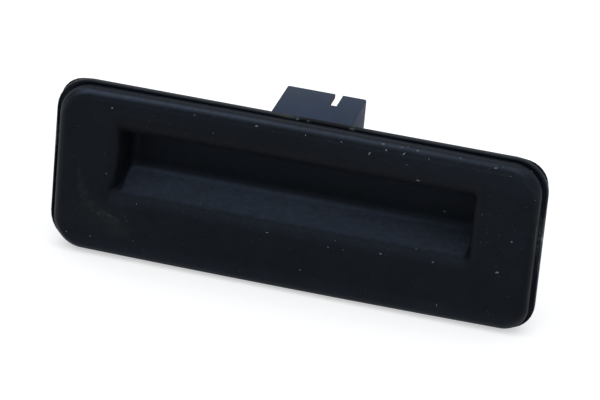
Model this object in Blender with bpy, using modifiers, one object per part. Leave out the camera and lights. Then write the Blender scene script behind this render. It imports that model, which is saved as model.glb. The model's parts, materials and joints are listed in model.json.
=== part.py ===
"""Electric trunk lid handle: a soft recessed front on a rigid carrier, with a release switch behind it.

The handle stands as it is mounted. +X runs along it to the right, +Y goes into the car and +Z is up.
The origin is the middle of the panel cut-out, in the plane of the panel's outer skin.
Every depth below is counted from the flat front of the rubber, towards the car.
"""

import math

import bmesh
import bpy
from mathutils import Matrix, Vector

MM = 0.001

# Fits that many pieces share
TOUCH_GAP = 0.3 * MM  # between pieces that touch
PIN_PLAY = 0.25 * MM  # round a pin that something turns on
SINK = 0.5 * MM  # how far a rib or boss reaches into the wall that carries it
SMALLEST_ROUND = 0.3 * MM  # what is left of a rounding when a thick wall uses it up

# Finger recess, at the rubber's front surface
RECESS_DEPTH = 12.8 * MM
RECESS_HALF_WIDTH = 43.15 * MM
RECESS_ROOF = 9.5 * MM  # height of the roof above the middle
RECESS_SHELF = 5.4 * MM  # how far the shelf's front edge lies below the middle
END_SLOPE = math.radians(85)
ROOF_SLOPE = math.radians(90)
SHELF_SLOPE = math.radians(77)
END_EDGE = 1.6 * MM
ROOF_EDGE = 5.0 * MM
SHELF_EDGE = 3.6 * MM
RECESS_ROOT = 2.0 * MM  # radius between the walls and the back of the recess
RECESS_CORNER = 3.0 * MM  # radius of the recess's corners, seen from the front
FRONT_CORNERS = (2.6 * MM, 1.8 * MM, 1.0 * MM)  # on the rubber's face: at its edge, walls and back
FLOOR_INSET = 3.2 * MM  # from the recess's roots to where its flat back is closed

# Walls
SKIN = 1.7 * MM  # rubber over the carrier
EDGE_SKIN = 1.5 * MM  # rubber at the rolled edge
FRAME_WALL = 1.6 * MM

# Rolled edge of the rubber
COVER_INSET = 0.7 * MM  # from the rim's outline to the rubber's, on the long sides
END_SHOW = 0.35 * MM  # how much further in the rubber ends at the two ends
COVER_DEPTH = 4.1 * MM  # from the flat front to the rubber's back edge
COVER_ROLL = 2.4 * MM  # radius of the rolled edge
COVER_TUCK = 0.3 * MM  # how much the rolled edge draws in behind its widest line
COVER_CROWN = 0.3 * MM  # how much the long edges bow out

# Collar that goes through the panel
END_ROOM = 3.95 * MM  # from the tub to the collar, at the ends
ROOF_ROOM = 3.0 * MM  # from the tub's roof to the collar
COLLAR_WALL = 1.5 * MM
COLLAR_CORNER = 4.0 * MM
COLLAR_LENGTH = 4.5 * MM

# Rim, flange and gasket
END_REACH = 6.55 * MM  # from the collar to the rim's outline, at the ends
UPPER_REACH = 3.85 * MM  # above the collar
LOWER_REACH = 4.2 * MM  # below it
RIM_CORNER = 8.1 * MM
TIGHT_CORNER = 1.5 * MM  # how much smaller the radius of the lower right corner is
LIP_WIDTH = 0.5 * MM
LIP_HEIGHT = 0.5 * MM
FLANGE_THICKNESS = 1.2 * MM
GASKET_THICKNESS = 1.2 * MM
GASKET_INSET = 1.0 * MM

# Press lever
LEVER_END_ROOM = 6.75 * MM  # from the recess's ends to the lever's
LEVER_FRONT_ROOM = 1.6 * MM  # behind the rounding of the roof's front edge
LEVER_BACK_ROOM = 2.3 * MM  # to the back of the tub
LEVER_THICKNESS = 1.6 * MM
PIVOT_BACK = 1.8 * MM  # from the lever's front edge
PIVOT_RISE = 1.1 * MM  # above the lever's plate
EYE_RADIUS = 1.65 * MM
EYE_WIDTH = 3.0 * MM
EAR_WIDTH = 2.5 * MM
EAR_WASHER = 0.9 * MM  # space between an eye and its ear
PIN_RADIUS = 0.9 * MM
RIB = 1.2 * MM
RIB_RISE = 0.4 * MM  # lever's stiffening rib above the pivot
WINDOW_PLAY = 0.4 * MM  # between the lever's long edges and its window
ARM_HALF_WIDTH = 3.0 * MM
ARM_THICKNESS = 1.5 * MM
ARM_CLEARANCE = 0.5 * MM
ARM_LIFT = 1.5 * MM  # space above the arm
ARM_PASS = 1.4 * MM  # how far the arm reaches below the plunger's axis
ARM_ROOT = 2.4 * MM

# Coil springs between the lever and the hood of the switch housing
SPRING_WIRE = 0.4 * MM
SPRING_RADIUS = 1.1 * MM
SPRING_TURNS = 4
SPRING_ROOM = 0.65 * MM  # behind the lever's rib

# Switch housing and its connector shroud
SHROUD_WIDTH = 19.3 * MM
SHROUD_HEIGHT = 8.9 * MM
SHROUD_WALL = 1.3 * MM
SHROUD_REACH = 0.6 * MM  # of the shroud behind the chamber's cover plate
SHROUD_ROUND = 0.45 * MM
SOCKET_DEPTH = 7.1 * MM
SOCKET_FLOOR = 1.0 * MM
KEYWAY_X = 2.95 * MM
KEYWAY_WIDTH = 1.9 * MM
KEYWAY_STOP = 0.2 * MM  # from the keyway's end to the socket's floor
HOOD_ROOM = 0.35 * MM  # between the lever's rib and the hood
CHAMBER_LIP = 0.7 * MM
GATE_ROOM = 1.2 * MM  # beside the arm, where it enters the switch chamber
TERMINAL_ROOM = 2.8 * MM  # above the switch
COVER_PLATE = 1.3 * MM
LATCH_HALF_HEIGHT = 1.0 * MM
LUG_ROOM = 5.0 * MM  # from the chamber's wall to a screw
LUG_RADIUS = 3.2 * MM
LUG_THICKNESS = 1.7 * MM
BOSS_RADIUS = 2.7 * MM
BOSS_LENGTH = 4.0 * MM
BOSS_FLOOR = 0.6 * MM
SCREW_RADIUS = 1.1 * MM
SCREW_HEAD = 2.3 * MM
SCREW_HEAD_HEIGHT = 1.6 * MM

# Small switch
SWITCH_WIDTH = 12.8 * MM
SWITCH_HEIGHT = 5.8 * MM
SWITCH_DEPTH = 6.4 * MM
SWITCH_WALL = 0.8 * MM
SWITCH_FACE = 1.2 * MM
SWITCH_LID = 0.7 * MM
PLUNGER_RADIUS = 1.0 * MM
PLUNGER_FLANGE = 0.5 * MM
PLUNGER_TRAVEL = 0.9 * MM
PLUNGER_REST = 0.4 * MM  # how far it still stands out when it is in
BRIDGE_THICKNESS = 0.3 * MM
CONTACT_THICKNESS = 0.5 * MM
STRIP = 0.6 * MM  # thickness of the connector pins
STRIP_WIDTH = 1.5 * MM
STRIP_LIFT = 0.8 * MM  # of the pins' feet above the switch
PIN_INSET = 1.8 * MM  # from the switch's ends to the pins
PIN_SHORT = 2.1 * MM  # how far the pins end inside the shroud's mouth

# Steel clips and snap hooks
CLIP_STEEL = 0.5 * MM
CLIP_WIDTH = 8.0 * MM
CLIP_SPREAD = 2.4 * MM
CLIP_OVERLAP = 1.0 * MM  # of its inner leg with the collar
TONGUE_WIDTH = 11.0 * MM
TONGUE_LENGTH = 2.3 * MM
PANEL_GRIP = 1.3 * MM  # from the gasket's back to the hooks and clips behind the panel
HOOK_X = 30.0 * MM
HOOK_WIDTH = 5.0 * MM
HOOK_RISE = 1.2 * MM

# Ribs behind the plate
RIB_COUNT = 6
RIB_END_ROOM = 3.15 * MM  # from the recess's ends to the last rib
RIB_SETBACK = 4.0 * MM  # from the tub's back to the ribs' tips
RIB_STEP = 1.0 * MM  # from the collar's back edge to the ribs
END_RIB_HEIGHTS = (-0.5 * MM, 7.5 * MM)

# Smoothness of the lofted mouldings
CORNER_STEPS = 8
LONG_STEPS = 8
SHORT_STEPS = 3
ROUND_SIDES = 24

# Depths, heights and half widths that follow from the sizes above
FLANGE_FRONT = COVER_DEPTH + TOUCH_GAP
RIM_FRONT = FLANGE_FRONT - LIP_HEIGHT
FLANGE_BACK = FLANGE_FRONT + FLANGE_THICKNESS
MOUNT_DEPTH = FLANGE_BACK + TOUCH_GAP + GASKET_THICKNESS
PANEL_BACK = MOUNT_DEPTH + PANEL_GRIP
FRAME_FACE = SKIN + TOUCH_GAP
FRAME_BACK = FRAME_FACE + FRAME_WALL
FRAME_MIDDLE = FRAME_FACE + FRAME_WALL / 2
TUB_BACK = RECESS_DEPTH + FRAME_BACK
TUB_TOP = RECESS_ROOF + FRAME_BACK
COLLAR_BACK = FLANGE_BACK + COLLAR_LENGTH
TONGUE_BACK = COLLAR_BACK + TONGUE_LENGTH
COLLAR_HALF_WIDTH = RECESS_HALF_WIDTH + FRAME_BACK + END_ROOM + COLLAR_WALL
COLLAR_HALF_HEIGHT = TUB_TOP + ROOF_ROOM + COLLAR_WALL
RIM_HALF_WIDTH = COLLAR_HALF_WIDTH + END_REACH
RIM_TOP = COLLAR_HALF_HEIGHT + UPPER_REACH
RIM_LOW = COLLAR_HALF_HEIGHT + LOWER_REACH
LEVER_HALF_WIDTH = RECESS_HALF_WIDTH - LEVER_END_ROOM
LEVER_FRONT = ROOF_EDGE + LEVER_FRONT_ROOM
LEVER_BACK = TUB_BACK - LEVER_BACK_ROOM
LEVER_LOW = RECESS_ROOF + SKIN + TOUCH_GAP
LEVER_TOP = LEVER_LOW + LEVER_THICKNESS
PIVOT_DEPTH = LEVER_FRONT + PIVOT_BACK
PIVOT_HEIGHT = LEVER_TOP + PIVOT_RISE
LEVER_RIB_BACK = PIVOT_DEPTH + EYE_RADIUS + RIB / 2
EAR_IN = LEVER_HALF_WIDTH + EAR_WASHER
EAR_OUT = EAR_IN + EAR_WIDTH
EAR_BACK = LEVER_RIB_BACK
ARM_FRONT = TUB_BACK + ARM_CLEARANCE
ARM_BACK = ARM_FRONT + ARM_THICKNESS
ARM_LOW = TUB_TOP + ARM_CLEARANCE
ARM_TOP = ARM_LOW + ARM_THICKNESS
SPRING_DEPTH = LEVER_RIB_BACK + SPRING_ROOM + SPRING_RADIUS + SPRING_WIRE / 2
HOOD_FRONT = LEVER_RIB_BACK + HOOD_ROOM
HOOD_CEILING = ARM_TOP + ARM_LIFT
SHROUD_TOP = HOOD_CEILING + SHROUD_WALL
SHROUD_LOW = SHROUD_TOP - SHROUD_HEIGHT
SHROUD_INNER = SHROUD_WIDTH / 2 - SHROUD_WALL
SPRING_X = (ARM_HALF_WIDTH + SHROUD_INNER) / 2
SWITCH_TOP = SHROUD_LOW - TERMINAL_ROOM
SWITCH_LOW = SWITCH_TOP - SWITCH_HEIGHT
CHAMBER_LOW = SWITCH_LOW - TOUCH_GAP
CHAMBER_HALF = SWITCH_WIDTH / 2 + TOUCH_GAP
PLUNGER_HEIGHT = (SWITCH_LOW + SWITCH_TOP) / 2
PLUNGER_TIP = ARM_BACK + TOUCH_GAP
SWITCH_FRONT = PLUNGER_TIP + PLUNGER_TRAVEL + PLUNGER_REST
SWITCH_BACK = SWITCH_FRONT + SWITCH_DEPTH
CHAMBER_FRONT = SWITCH_FRONT - TOUCH_GAP
PLATE_BACK = SWITCH_BACK + 2 * TOUCH_GAP + COVER_PLATE
SHROUD_BACK = PLATE_BACK + SHROUD_REACH
SOCKET_FRONT = SHROUD_BACK - SOCKET_DEPTH
SOCKET_WALL_FRONT = SOCKET_FRONT - SOCKET_FLOOR
LUG_REACH = CHAMBER_HALF + SHROUD_WALL + LUG_ROOM
LUG_HEIGHT = PLUNGER_HEIGHT
LUG_FRONT = TUB_BACK + BOSS_LENGTH + TOUCH_GAP
LUG_BACK = LUG_FRONT + LUG_THICKNESS
PIN_X = SWITCH_WIDTH / 2 - PIN_INSET
PIN_HEIGHT = (SHROUD_LOW + SHROUD_TOP) / 2
STRIP_FRONT = SOCKET_WALL_FRONT - TOUCH_GAP - STRIP
PIVOT = Vector((0, PIVOT_DEPTH - MOUNT_DEPTH, PIVOT_HEIGHT))

ALONG_X = Vector((1, 0, 0))
ALONG_Y = Vector((0, 1, 0))
SIDES = (("left", -1), ("right", 1))


def clear_scene():
    for obj in list(bpy.data.objects):
        bpy.data.objects.remove(obj, do_unlink=True)


def new_collection(name):
    collection = bpy.data.collections.new(name)
    bpy.context.scene.collection.children.link(collection)
    return collection


def finish(name, colour, roughness, metallic=0.0):
    """A Principled material of one colour."""
    material = bpy.data.materials.new(name)
    material.use_nodes = True
    shader = material.node_tree.nodes["Principled BSDF"]
    shader.inputs["Base Color"].default_value = (*colour, 1.0)
    shader.inputs["Roughness"].default_value = roughness
    shader.inputs["Metallic"].default_value = metallic
    return material


def place(x, depth, z):
    """A point of the handle, from its depth behind the rubber's front."""
    return Vector((x, depth - MOUNT_DEPTH, z))


def mesh_object(name, bm, collection, material=None):
    """An object from a bmesh, with its faces turned outwards and its round parts shaded smooth."""
    bmesh.ops.recalc_face_normals(bm, faces=bm.faces)
    mesh = bpy.data.meshes.new(name)
    bm.to_mesh(mesh)
    bm.free()
    mesh.shade_smooth()
    mesh.set_sharp_from_angle(angle=math.radians(35))
    obj = bpy.data.objects.new(name, mesh)
    collection.objects.link(obj)
    if material:
        mesh.materials.append(material)
    return obj


def box(name, low, high, collection, material=None):
    """A box between two corners, each given as x, depth and height."""
    a = place(*low)
    b = place(*high)
    bm = bmesh.new()
    size = b - a
    matrix = Matrix.Translation((a + b) / 2) @ Matrix.Diagonal((*size, 1.0))
    bmesh.ops.create_cube(bm, size=1.0, matrix=matrix)
    return mesh_object(name, bm, collection, material)


def cylinder(name, axis, radius, start, end, collection, material=None):
    """A cylinder along X, Y or Z from start to end, both given as x, depth and height."""
    a = place(*start)
    b = place(*end)
    turn = Vector((0, 0, 1)).rotation_difference(axis).to_matrix().to_4x4()
    bm = bmesh.new()
    bmesh.ops.create_cone(
        bm,
        cap_ends=True,
        segments=ROUND_SIDES,
        radius1=radius,
        radius2=radius,
        depth=(b - a).length,
        matrix=Matrix.Translation((a + b) / 2) @ turn,
    )
    return mesh_object(name, bm, collection, material)


def prism(name, corners, shift, collection, material=None):
    """A flat outline of points, pushed along a straight line into a solid."""
    bm = bmesh.new()
    face = bm.faces.new([bm.verts.new(corner) for corner in corners])
    pushed = bmesh.ops.extrude_face_region(bm, geom=[face])
    bmesh.ops.translate(bm, verts=[v for v in pushed["geom"] if isinstance(v, bmesh.types.BMVert)], vec=shift)
    return mesh_object(name, bm, collection, material)


def side_prism(name, outline, x_from, x_to, collection, material=None):
    """A solid with an outline of depths and heights, as wide as x_from to x_to."""
    corners = [place(x_from, depth, z) for depth, z in outline]
    return prism(name, corners, Vector((x_to - x_from, 0, 0)), collection, material)


def plan_prism(name, outline, z_from, z_to, collection, material=None):
    """A solid with an outline of x and depth, as high as z_from to z_to."""
    corners = [place(x, depth, z_from) for x, depth in outline]
    return prism(name, corners, Vector((0, 0, z_to - z_from)), collection, material)


def boolean(target, tool, operation):
    modifier = target.modifiers.new(f"{operation.lower()}_{tool.name}", "BOOLEAN")
    modifier.operation = operation
    modifier.solver = "EXACT"
    modifier.object = tool
    tool.hide_render = True
    tool.display_type = "WIRE"


def add(target, *tools):
    for tool in tools:
        boolean(target, tool, "UNION")


def cut(target, *tools):
    for tool in tools:
        boolean(target, tool, "DIFFERENCE")


def soften(obj, width, segments=2):
    """Round the edges of a plain block, before anything is joined to it."""
    modifier = obj.modifiers.new("edges", "BEVEL")
    modifier.width = width
    modifier.segments = segments
    modifier.limit_method = "ANGLE"


def move_origin(obj, point):
    """Put the object's origin on its joint's axis and leave its shape where it is."""
    obj.data.transform(Matrix.Translation(-point))
    obj.location = point


def fillet_path(corners, radii, steps):
    """Round the corners of an open line of (out, depth) points. The same steps give the same count."""
    path = []
    for i, corner in enumerate(corners):
        corner = Vector(corner)
        if steps[i] == 0:
            path.append((corner.x, corner.y, float(i)))
            continue
        before = (Vector(corners[i - 1]) - corner).normalized()
        after = (Vector(corners[i + 1]) - corner).normalized()
        half = before.angle(after) / 2
        centre = corner + (before + after).normalized() * radii[i] / math.sin(half)
        start = corner + before * radii[i] / math.tan(half) - centre
        end = corner + after * radii[i] / math.tan(half) - centre
        sweep = start.angle(end)
        for step in range(steps[i] + 1):
            share = step / steps[i]
            spoke = start * math.sin((1 - share) * sweep) + end * math.sin(share * sweep)
            point = centre + spoke / math.sin(sweep)
            path.append((point.x, point.y, i - 0.5 + share))
    return path


def between(values, spot):
    """A value part of the way along a list, such as a corner radius between two corners of a section."""
    spot = min(max(spot, 0.0), len(values) - 1.0)
    low = min(int(spot), len(values) - 2)
    return values[low] + (values[low + 1] - values[low]) * (spot - low)


def ring(side, low, high, radius, crown=0.0, tight=0.0):
    """One rounded rectangle of a moulding. Its ends, its lower and its upper side may lie at unlike depths."""
    points = []
    quarters = ((1, 1, 0.0), (-1, 1, 0.5), (-1, -1, 1.0), (1, -1, 1.5))
    rounds = (radius, radius, radius, radius - tight)
    for i, (right, up, start) in enumerate(quarters):
        edge = high if up > 0 else low
        centre_x = right * (side[0] - rounds[i])
        centre_z = up * (edge[0] - rounds[i])
        following = rounds[(i + 1) % 4]
        for step in range(CORNER_STEPS + 1):
            angle = (start + 0.5 * step / CORNER_STEPS) * math.pi
            lift = math.sin(angle) ** 2
            depth = side[1] + (edge[1] - side[1]) * lift
            x = centre_x + rounds[i] * math.cos(angle)
            z = centre_z + rounds[i] * math.sin(angle)
            points.append(place(x, depth, z))
        along_x = start in (0.0, 1.0)
        steps = LONG_STEPS if along_x else SHORT_STEPS
        for step in range(1, steps):
            share = step / steps
            if along_x:
                x = centre_x - right * (2 * side[0] - rounds[i] - following) * share
                bow = crown * 4 * share * (1 - share)
                points.append(place(x, edge[1], up * (edge[0] + bow)))
            else:
                height = high[0] + low[0] - rounds[i] - following
                z = centre_z - up * height * share
                points.append(place(right * side[0], side[1], z))
    return points


def surface(corners, radii, steps, plan_radii, crowns, tights):
    """The rings of one face of a moulding. Each list follows its section from the outside in."""
    sides = [fillet_path(line, rounding, steps) for line, rounding in zip(corners, radii)]
    rings = []
    for side, low, high in zip(*sides):
        radius, crown, tight = (between(values, side[2]) for values in (plan_radii, crowns, tights))
        rings.append(ring(side, low, high, radius, crown, tight))
    return rings


def bridge(bm, first, second):
    count = len(first)
    for i in range(count):
        j = (i + 1) % count
        bm.faces.new((first[i], first[j], second[j], second[i]))


def moulding(name, front, back, collection, material):
    """A closed shell between a front and a back face that meet at their outer edges."""
    bm = bmesh.new()
    outer = []
    for rings in (front, back):
        loops = [[bm.verts.new(point) for point in points] for points in rings]
        for first, second in zip(loops, loops[1:]):
            bridge(bm, first, second)
        bm.faces.new(loops[-1])
        outer.append(loops[0])
    bridge(bm, outer[0], outer[1])
    return mesh_object(name, bm, collection, material)


RECESS_SIDES = (
    (RECESS_HALF_WIDTH, END_SLOPE),
    (RECESS_SHELF, SHELF_SLOPE),
    (RECESS_ROOF, ROOF_SLOPE),
)


def wall_out(side, offset, depth):
    """How far out a recess wall lies at a depth, for the face that is offset behind the rubber's front."""
    edge, slope = RECESS_SIDES[side]
    return edge - depth / math.tan(slope) + offset / math.sin(slope)


def section(outer, offset):
    """Join the outer corners of a section, given per side, to the recess's edge and root on that side."""
    floor = RECESS_DEPTH + offset
    recess = [[(wall_out(side, offset, depth), depth) for depth in (offset, floor)] for side in range(3)]
    ends = [(wall_out(side, offset, floor) - FLOOR_INSET, floor) for side in range(3)]
    return [[*start, *walls, end] for start, walls, end in zip(outer, recess, ends)]


def per_side(inset_line, ends_in=0.0):
    """The same (inset from the rim's outline, depth) points on the ends, the lower and the upper side."""
    halves = (RIM_HALF_WIDTH - ends_in, RIM_LOW, RIM_TOP)
    return [[(half - inset, depth) for inset, depth in inset_line] for half in halves]


def recess_rounds(edge_radii, offset, root):
    """Radii of the recess's edge and root on each side, for a face behind the rubber's front."""
    edges = (END_EDGE, SHELF_EDGE, ROOF_EDGE)
    return [[*edge_radii, max(edge - offset, SMALLEST_ROUND), root, 0] for edge in edges]


def make_soft_cover(collection):
    """One rubber moulding: rolled edge, flat front and finger recess."""
    lean = COVER_TUCK / (COVER_DEPTH - COVER_ROLL)
    tucked = COVER_INSET + COVER_TUCK
    edge_at_front = tucked - COVER_DEPTH * lean
    outer = per_side([(tucked, COVER_DEPTH), (edge_at_front, 0)], END_SHOW)
    recess_plan = [RECESS_CORNER + ROOF_EDGE / 2, RECESS_CORNER - 1 * MM, 1 * MM]
    crowns = [COVER_CROWN, COVER_CROWN, 0, 0, 0]
    tights = [TIGHT_CORNER, TIGHT_CORNER, 0, 0, 0]
    front = surface(
        section(outer, 0),
        recess_rounds([0, COVER_ROLL], 0, RECESS_ROOT),
        [0, 6, 6, 4, 0],
        [RIM_CORNER - tucked, RIM_CORNER - COVER_INSET, *FRONT_CORNERS],
        crowns,
        tights,
    )
    inner = [[(out - EDGE_SKIN, max(depth, SKIN)) for out, depth in line] for line in outer]
    back = surface(
        section(inner, SKIN),
        recess_rounds([0, COVER_ROLL / 3], SKIN, RECESS_ROOT * 0.75),
        [0, 3, 4, 3, 0],
        [RIM_CORNER - tucked - EDGE_SKIN, RIM_CORNER - COVER_INSET - EDGE_SKIN, *recess_plan],
        crowns,
        tights,
    )
    rubber = finish("black_rubber", (0.018, 0.019, 0.023), 0.62)
    return moulding("soft_cover", front, back, collection, rubber)


def make_carrier_frame(collection, cutters):
    """The glass-filled moulding: rim, flange, collar, the tub behind the recess and all that it carries."""
    pad = COVER_INSET + COVER_TUCK + EDGE_SKIN + TOUCH_GAP
    rim_middle = (RIM_FRONT + FLANGE_BACK) / 2
    rim = per_side([(0, rim_middle), (0, RIM_FRONT), (LIP_WIDTH, RIM_FRONT), (LIP_WIDTH, FLANGE_FRONT)])
    pads = per_side([(pad, FLANGE_FRONT), (pad, FRAME_FACE)], END_SHOW)
    outer = [[*edge, *inside] for edge, inside in zip(rim, pads)]
    flat = [0] * 9
    lip_corner = RIM_CORNER - LIP_WIDTH
    pad_corner = RIM_CORNER - pad
    plan = [RIM_CORNER, RIM_CORNER, lip_corner, lip_corner, pad_corner, pad_corner]
    front = surface(
        section(outer, FRAME_FACE),
        recess_rounds([0, LIP_WIDTH / 2, LIP_WIDTH / 4, 0, 0, LIP_WIDTH], FRAME_FACE, RECESS_ROOT * 0.6),
        [0, 3, 1, 0, 0, 2, 4, 3, 0],
        [*plan, RECESS_CORNER + FRAME_FACE, RECESS_CORNER - 1 * MM + TOUCH_GAP, 1 * MM],
        flat,
        [TIGHT_CORNER] * 6 + [0] * 3,
    )
    rims = (RIM_HALF_WIDTH, RIM_LOW, RIM_TOP)
    collars = (COLLAR_HALF_WIDTH, COLLAR_HALF_HEIGHT, COLLAR_HALF_HEIGHT)
    outer = [
        [
            (rim, rim_middle + SINK / 5),
            (rim, FLANGE_BACK),
            (collar, FLANGE_BACK),
            (collar, COLLAR_BACK),
            (collar - COLLAR_WALL, COLLAR_BACK),
            (collar - COLLAR_WALL, FRAME_BACK),
        ]
        for rim, collar in zip(rims, collars)
    ]
    inner_corner = max(COLLAR_CORNER - COLLAR_WALL, SMALLEST_ROUND)
    plan = [RIM_CORNER, RIM_CORNER, COLLAR_CORNER, COLLAR_CORNER, inner_corner, inner_corner]
    back = surface(
        section(outer, FRAME_BACK),
        recess_rounds([0, FLANGE_THICKNESS / 3, 0, 0, 0, 0], FRAME_BACK, RECESS_ROOT * 0.6),
        [0, 2, 0, 0, 0, 0, 3, 3, 0],
        [*plan, RECESS_CORNER + FRAME_BACK, RECESS_CORNER + FRAME_WALL, 1 * MM],
        flat,
        [TIGHT_CORNER] * 2 + [0] * 7,
    )
    plastic = finish("black_glass_filled_plastic", (0.022, 0.023, 0.026), 0.5)
    frame = moulding("carrier_frame", front, back, collection, plastic)
    add_ribs(frame, cutters)
    add_ears(frame, cutters)
    add_bosses(frame, cutters)
    add_hooks(frame, cutters)
    cut_window(frame, cutters)
    return frame


def add_ribs(frame, cutters):
    """Ribs that tie the tub to the collar, below it and at both ends."""
    collar = COLLAR_HALF_HEIGHT - COLLAR_WALL / 2
    tip = TUB_BACK - RIB_SETBACK
    root = FRAME_MIDDLE + RIB_STEP
    outline = [
        (FRAME_MIDDLE, -collar),
        (COLLAR_BACK - RIB_STEP, -collar),
        (tip, -wall_out(1, FRAME_MIDDLE, tip)),
        (root, -wall_out(1, FRAME_MIDDLE, root)),
        (FRAME_MIDDLE, -wall_out(1, FRAME_MIDDLE, FRAME_MIDDLE) - RIB_STEP),
    ]
    span = RECESS_HALF_WIDTH - RIB_END_ROOM
    for i in range(RIB_COUNT):
        x = span * (2 * i / (RIB_COUNT - 1) - 1)
        add(frame, side_prism(f"rib_{i}", outline, x - RIB / 2, x + RIB / 2, cutters))
    collar = COLLAR_HALF_WIDTH - COLLAR_WALL / 2
    for side, right in SIDES:
        outline = [
            (right * collar, FRAME_MIDDLE),
            (right * collar, FLANGE_BACK + RIB_STEP),
            (right * wall_out(0, FRAME_MIDDLE, tip), tip),
            (right * wall_out(0, FRAME_MIDDLE, root), root),
            (right * (wall_out(0, FRAME_MIDDLE, FRAME_MIDDLE) + RIB_STEP), FRAME_MIDDLE),
        ]
        for i, z in enumerate(END_RIB_HEIGHTS):
            add(frame, plan_prism(f"end_rib_{side}_{i}", outline, z - RIB / 2, z + RIB / 2, cutters))


def add_ears(frame, cutters):
    """The two bearing ears of the lever, each with a hole for its pin."""
    top = COLLAR_HALF_HEIGHT - COLLAR_WALL / 2
    outline = [
        (FRAME_MIDDLE, TUB_TOP + SINK),
        (FRAME_MIDDLE + SINK, top),
        (EAR_BACK, top),
        (EAR_BACK, TUB_TOP - SINK),
        (ROOF_EDGE, TUB_TOP - SINK),
    ]
    for side, right in SIDES:
        add(frame, side_prism(f"ear_{side}", outline, right * EAR_IN, right * EAR_OUT, cutters))
        start = (right * (EAR_IN - SINK), PIVOT_DEPTH, PIVOT_HEIGHT)
        end = (right * (EAR_OUT + SINK), PIVOT_DEPTH, PIVOT_HEIGHT)
        cut(frame, cylinder(f"ear_hole_{side}", ALONG_X, PIN_RADIUS + PIN_PLAY, start, end, cutters))


def add_bosses(frame, cutters):
    """Screw bosses for the switch housing, on the back of the tub."""
    for side, right in SIDES:
        x = right * LUG_REACH
        start = (x, TUB_BACK - SINK, LUG_HEIGHT)
        end = (x, TUB_BACK + BOSS_LENGTH, LUG_HEIGHT)
        add(frame, cylinder(f"boss_{side}", ALONG_Y, BOSS_RADIUS, start, end, cutters))
        start = (x, TUB_BACK + BOSS_FLOOR, LUG_HEIGHT)
        end = (x, TUB_BACK + BOSS_LENGTH + SINK, LUG_HEIGHT)
        cut(frame, cylinder(f"boss_hole_{side}", ALONG_Y, SCREW_RADIUS + TOUCH_GAP, start, end, cutters))


def add_hooks(frame, cutters):
    """Snap hooks on the long sides of the collar, and a tongue for a steel clip at each end."""
    collar = COLLAR_HALF_HEIGHT
    for row, up in (("lower", -1), ("upper", 1)):
        outline = [
            (PANEL_BACK, up * (collar - COLLAR_WALL)),
            (PANEL_BACK, up * (collar + HOOK_RISE)),
            (PANEL_BACK + HOOK_RISE * 0.7, up * (collar + HOOK_RISE)),
            (TONGUE_BACK, up * (collar - HOOK_RISE / 6)),
            (TONGUE_BACK, up * (collar - COLLAR_WALL)),
        ]
        for side, right in SIDES:
            x = right * HOOK_X
            ends = (x - HOOK_WIDTH / 2, x + HOOK_WIDTH / 2)
            add(frame, side_prism(f"hook_{row}_{side}", outline, *ends, cutters))
    for side, right in SIDES:
        xs = sorted((right * COLLAR_HALF_WIDTH, right * (COLLAR_HALF_WIDTH - COLLAR_WALL)))
        low = (xs[0], COLLAR_BACK - SINK, -TONGUE_WIDTH / 2)
        high = (xs[1], TONGUE_BACK, TONGUE_WIDTH / 2)
        add(frame, box(f"tongue_{side}", low, high, cutters))


def cut_window(frame, cutters):
    """The opening in the tub's roof, where the lever lies on the rubber."""
    half = LEVER_HALF_WIDTH + 2 * TOUCH_GAP
    low = (-half, LEVER_FRONT - WINDOW_PLAY, RECESS_ROOF + SKIN)
    high = (half, LEVER_BACK + WINDOW_PLAY, TUB_TOP + SINK)
    cut(frame, box("lever_window", low, high, cutters))


def make_panel_gasket(collection):
    """Foam ring between the flange and the panel."""
    start = FLANGE_BACK + TOUCH_GAP
    outer = [half - GASKET_INSET for half in (RIM_HALF_WIDTH, RIM_LOW, RIM_TOP, RIM_CORNER)]
    collar = (COLLAR_HALF_WIDTH, COLLAR_HALF_HEIGHT, COLLAR_HALF_HEIGHT, COLLAR_CORNER)
    inner = [half + TOUCH_GAP for half in collar]
    bm = bmesh.new()
    loops = []
    for outline, depth in ((outer, start), (outer, MOUNT_DEPTH), (inner, MOUNT_DEPTH), (inner, start)):
        edges = [(half, depth) for half in outline[:3]]
        loops.append([bm.verts.new(point) for point in ring(*edges, outline[3])])
    for i in range(4):
        bridge(bm, loops[i], loops[(i + 1) % 4])
    return mesh_object("panel_gasket", bm, collection, finish("black_foam", (0.03, 0.03, 0.032), 0.95))


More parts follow.
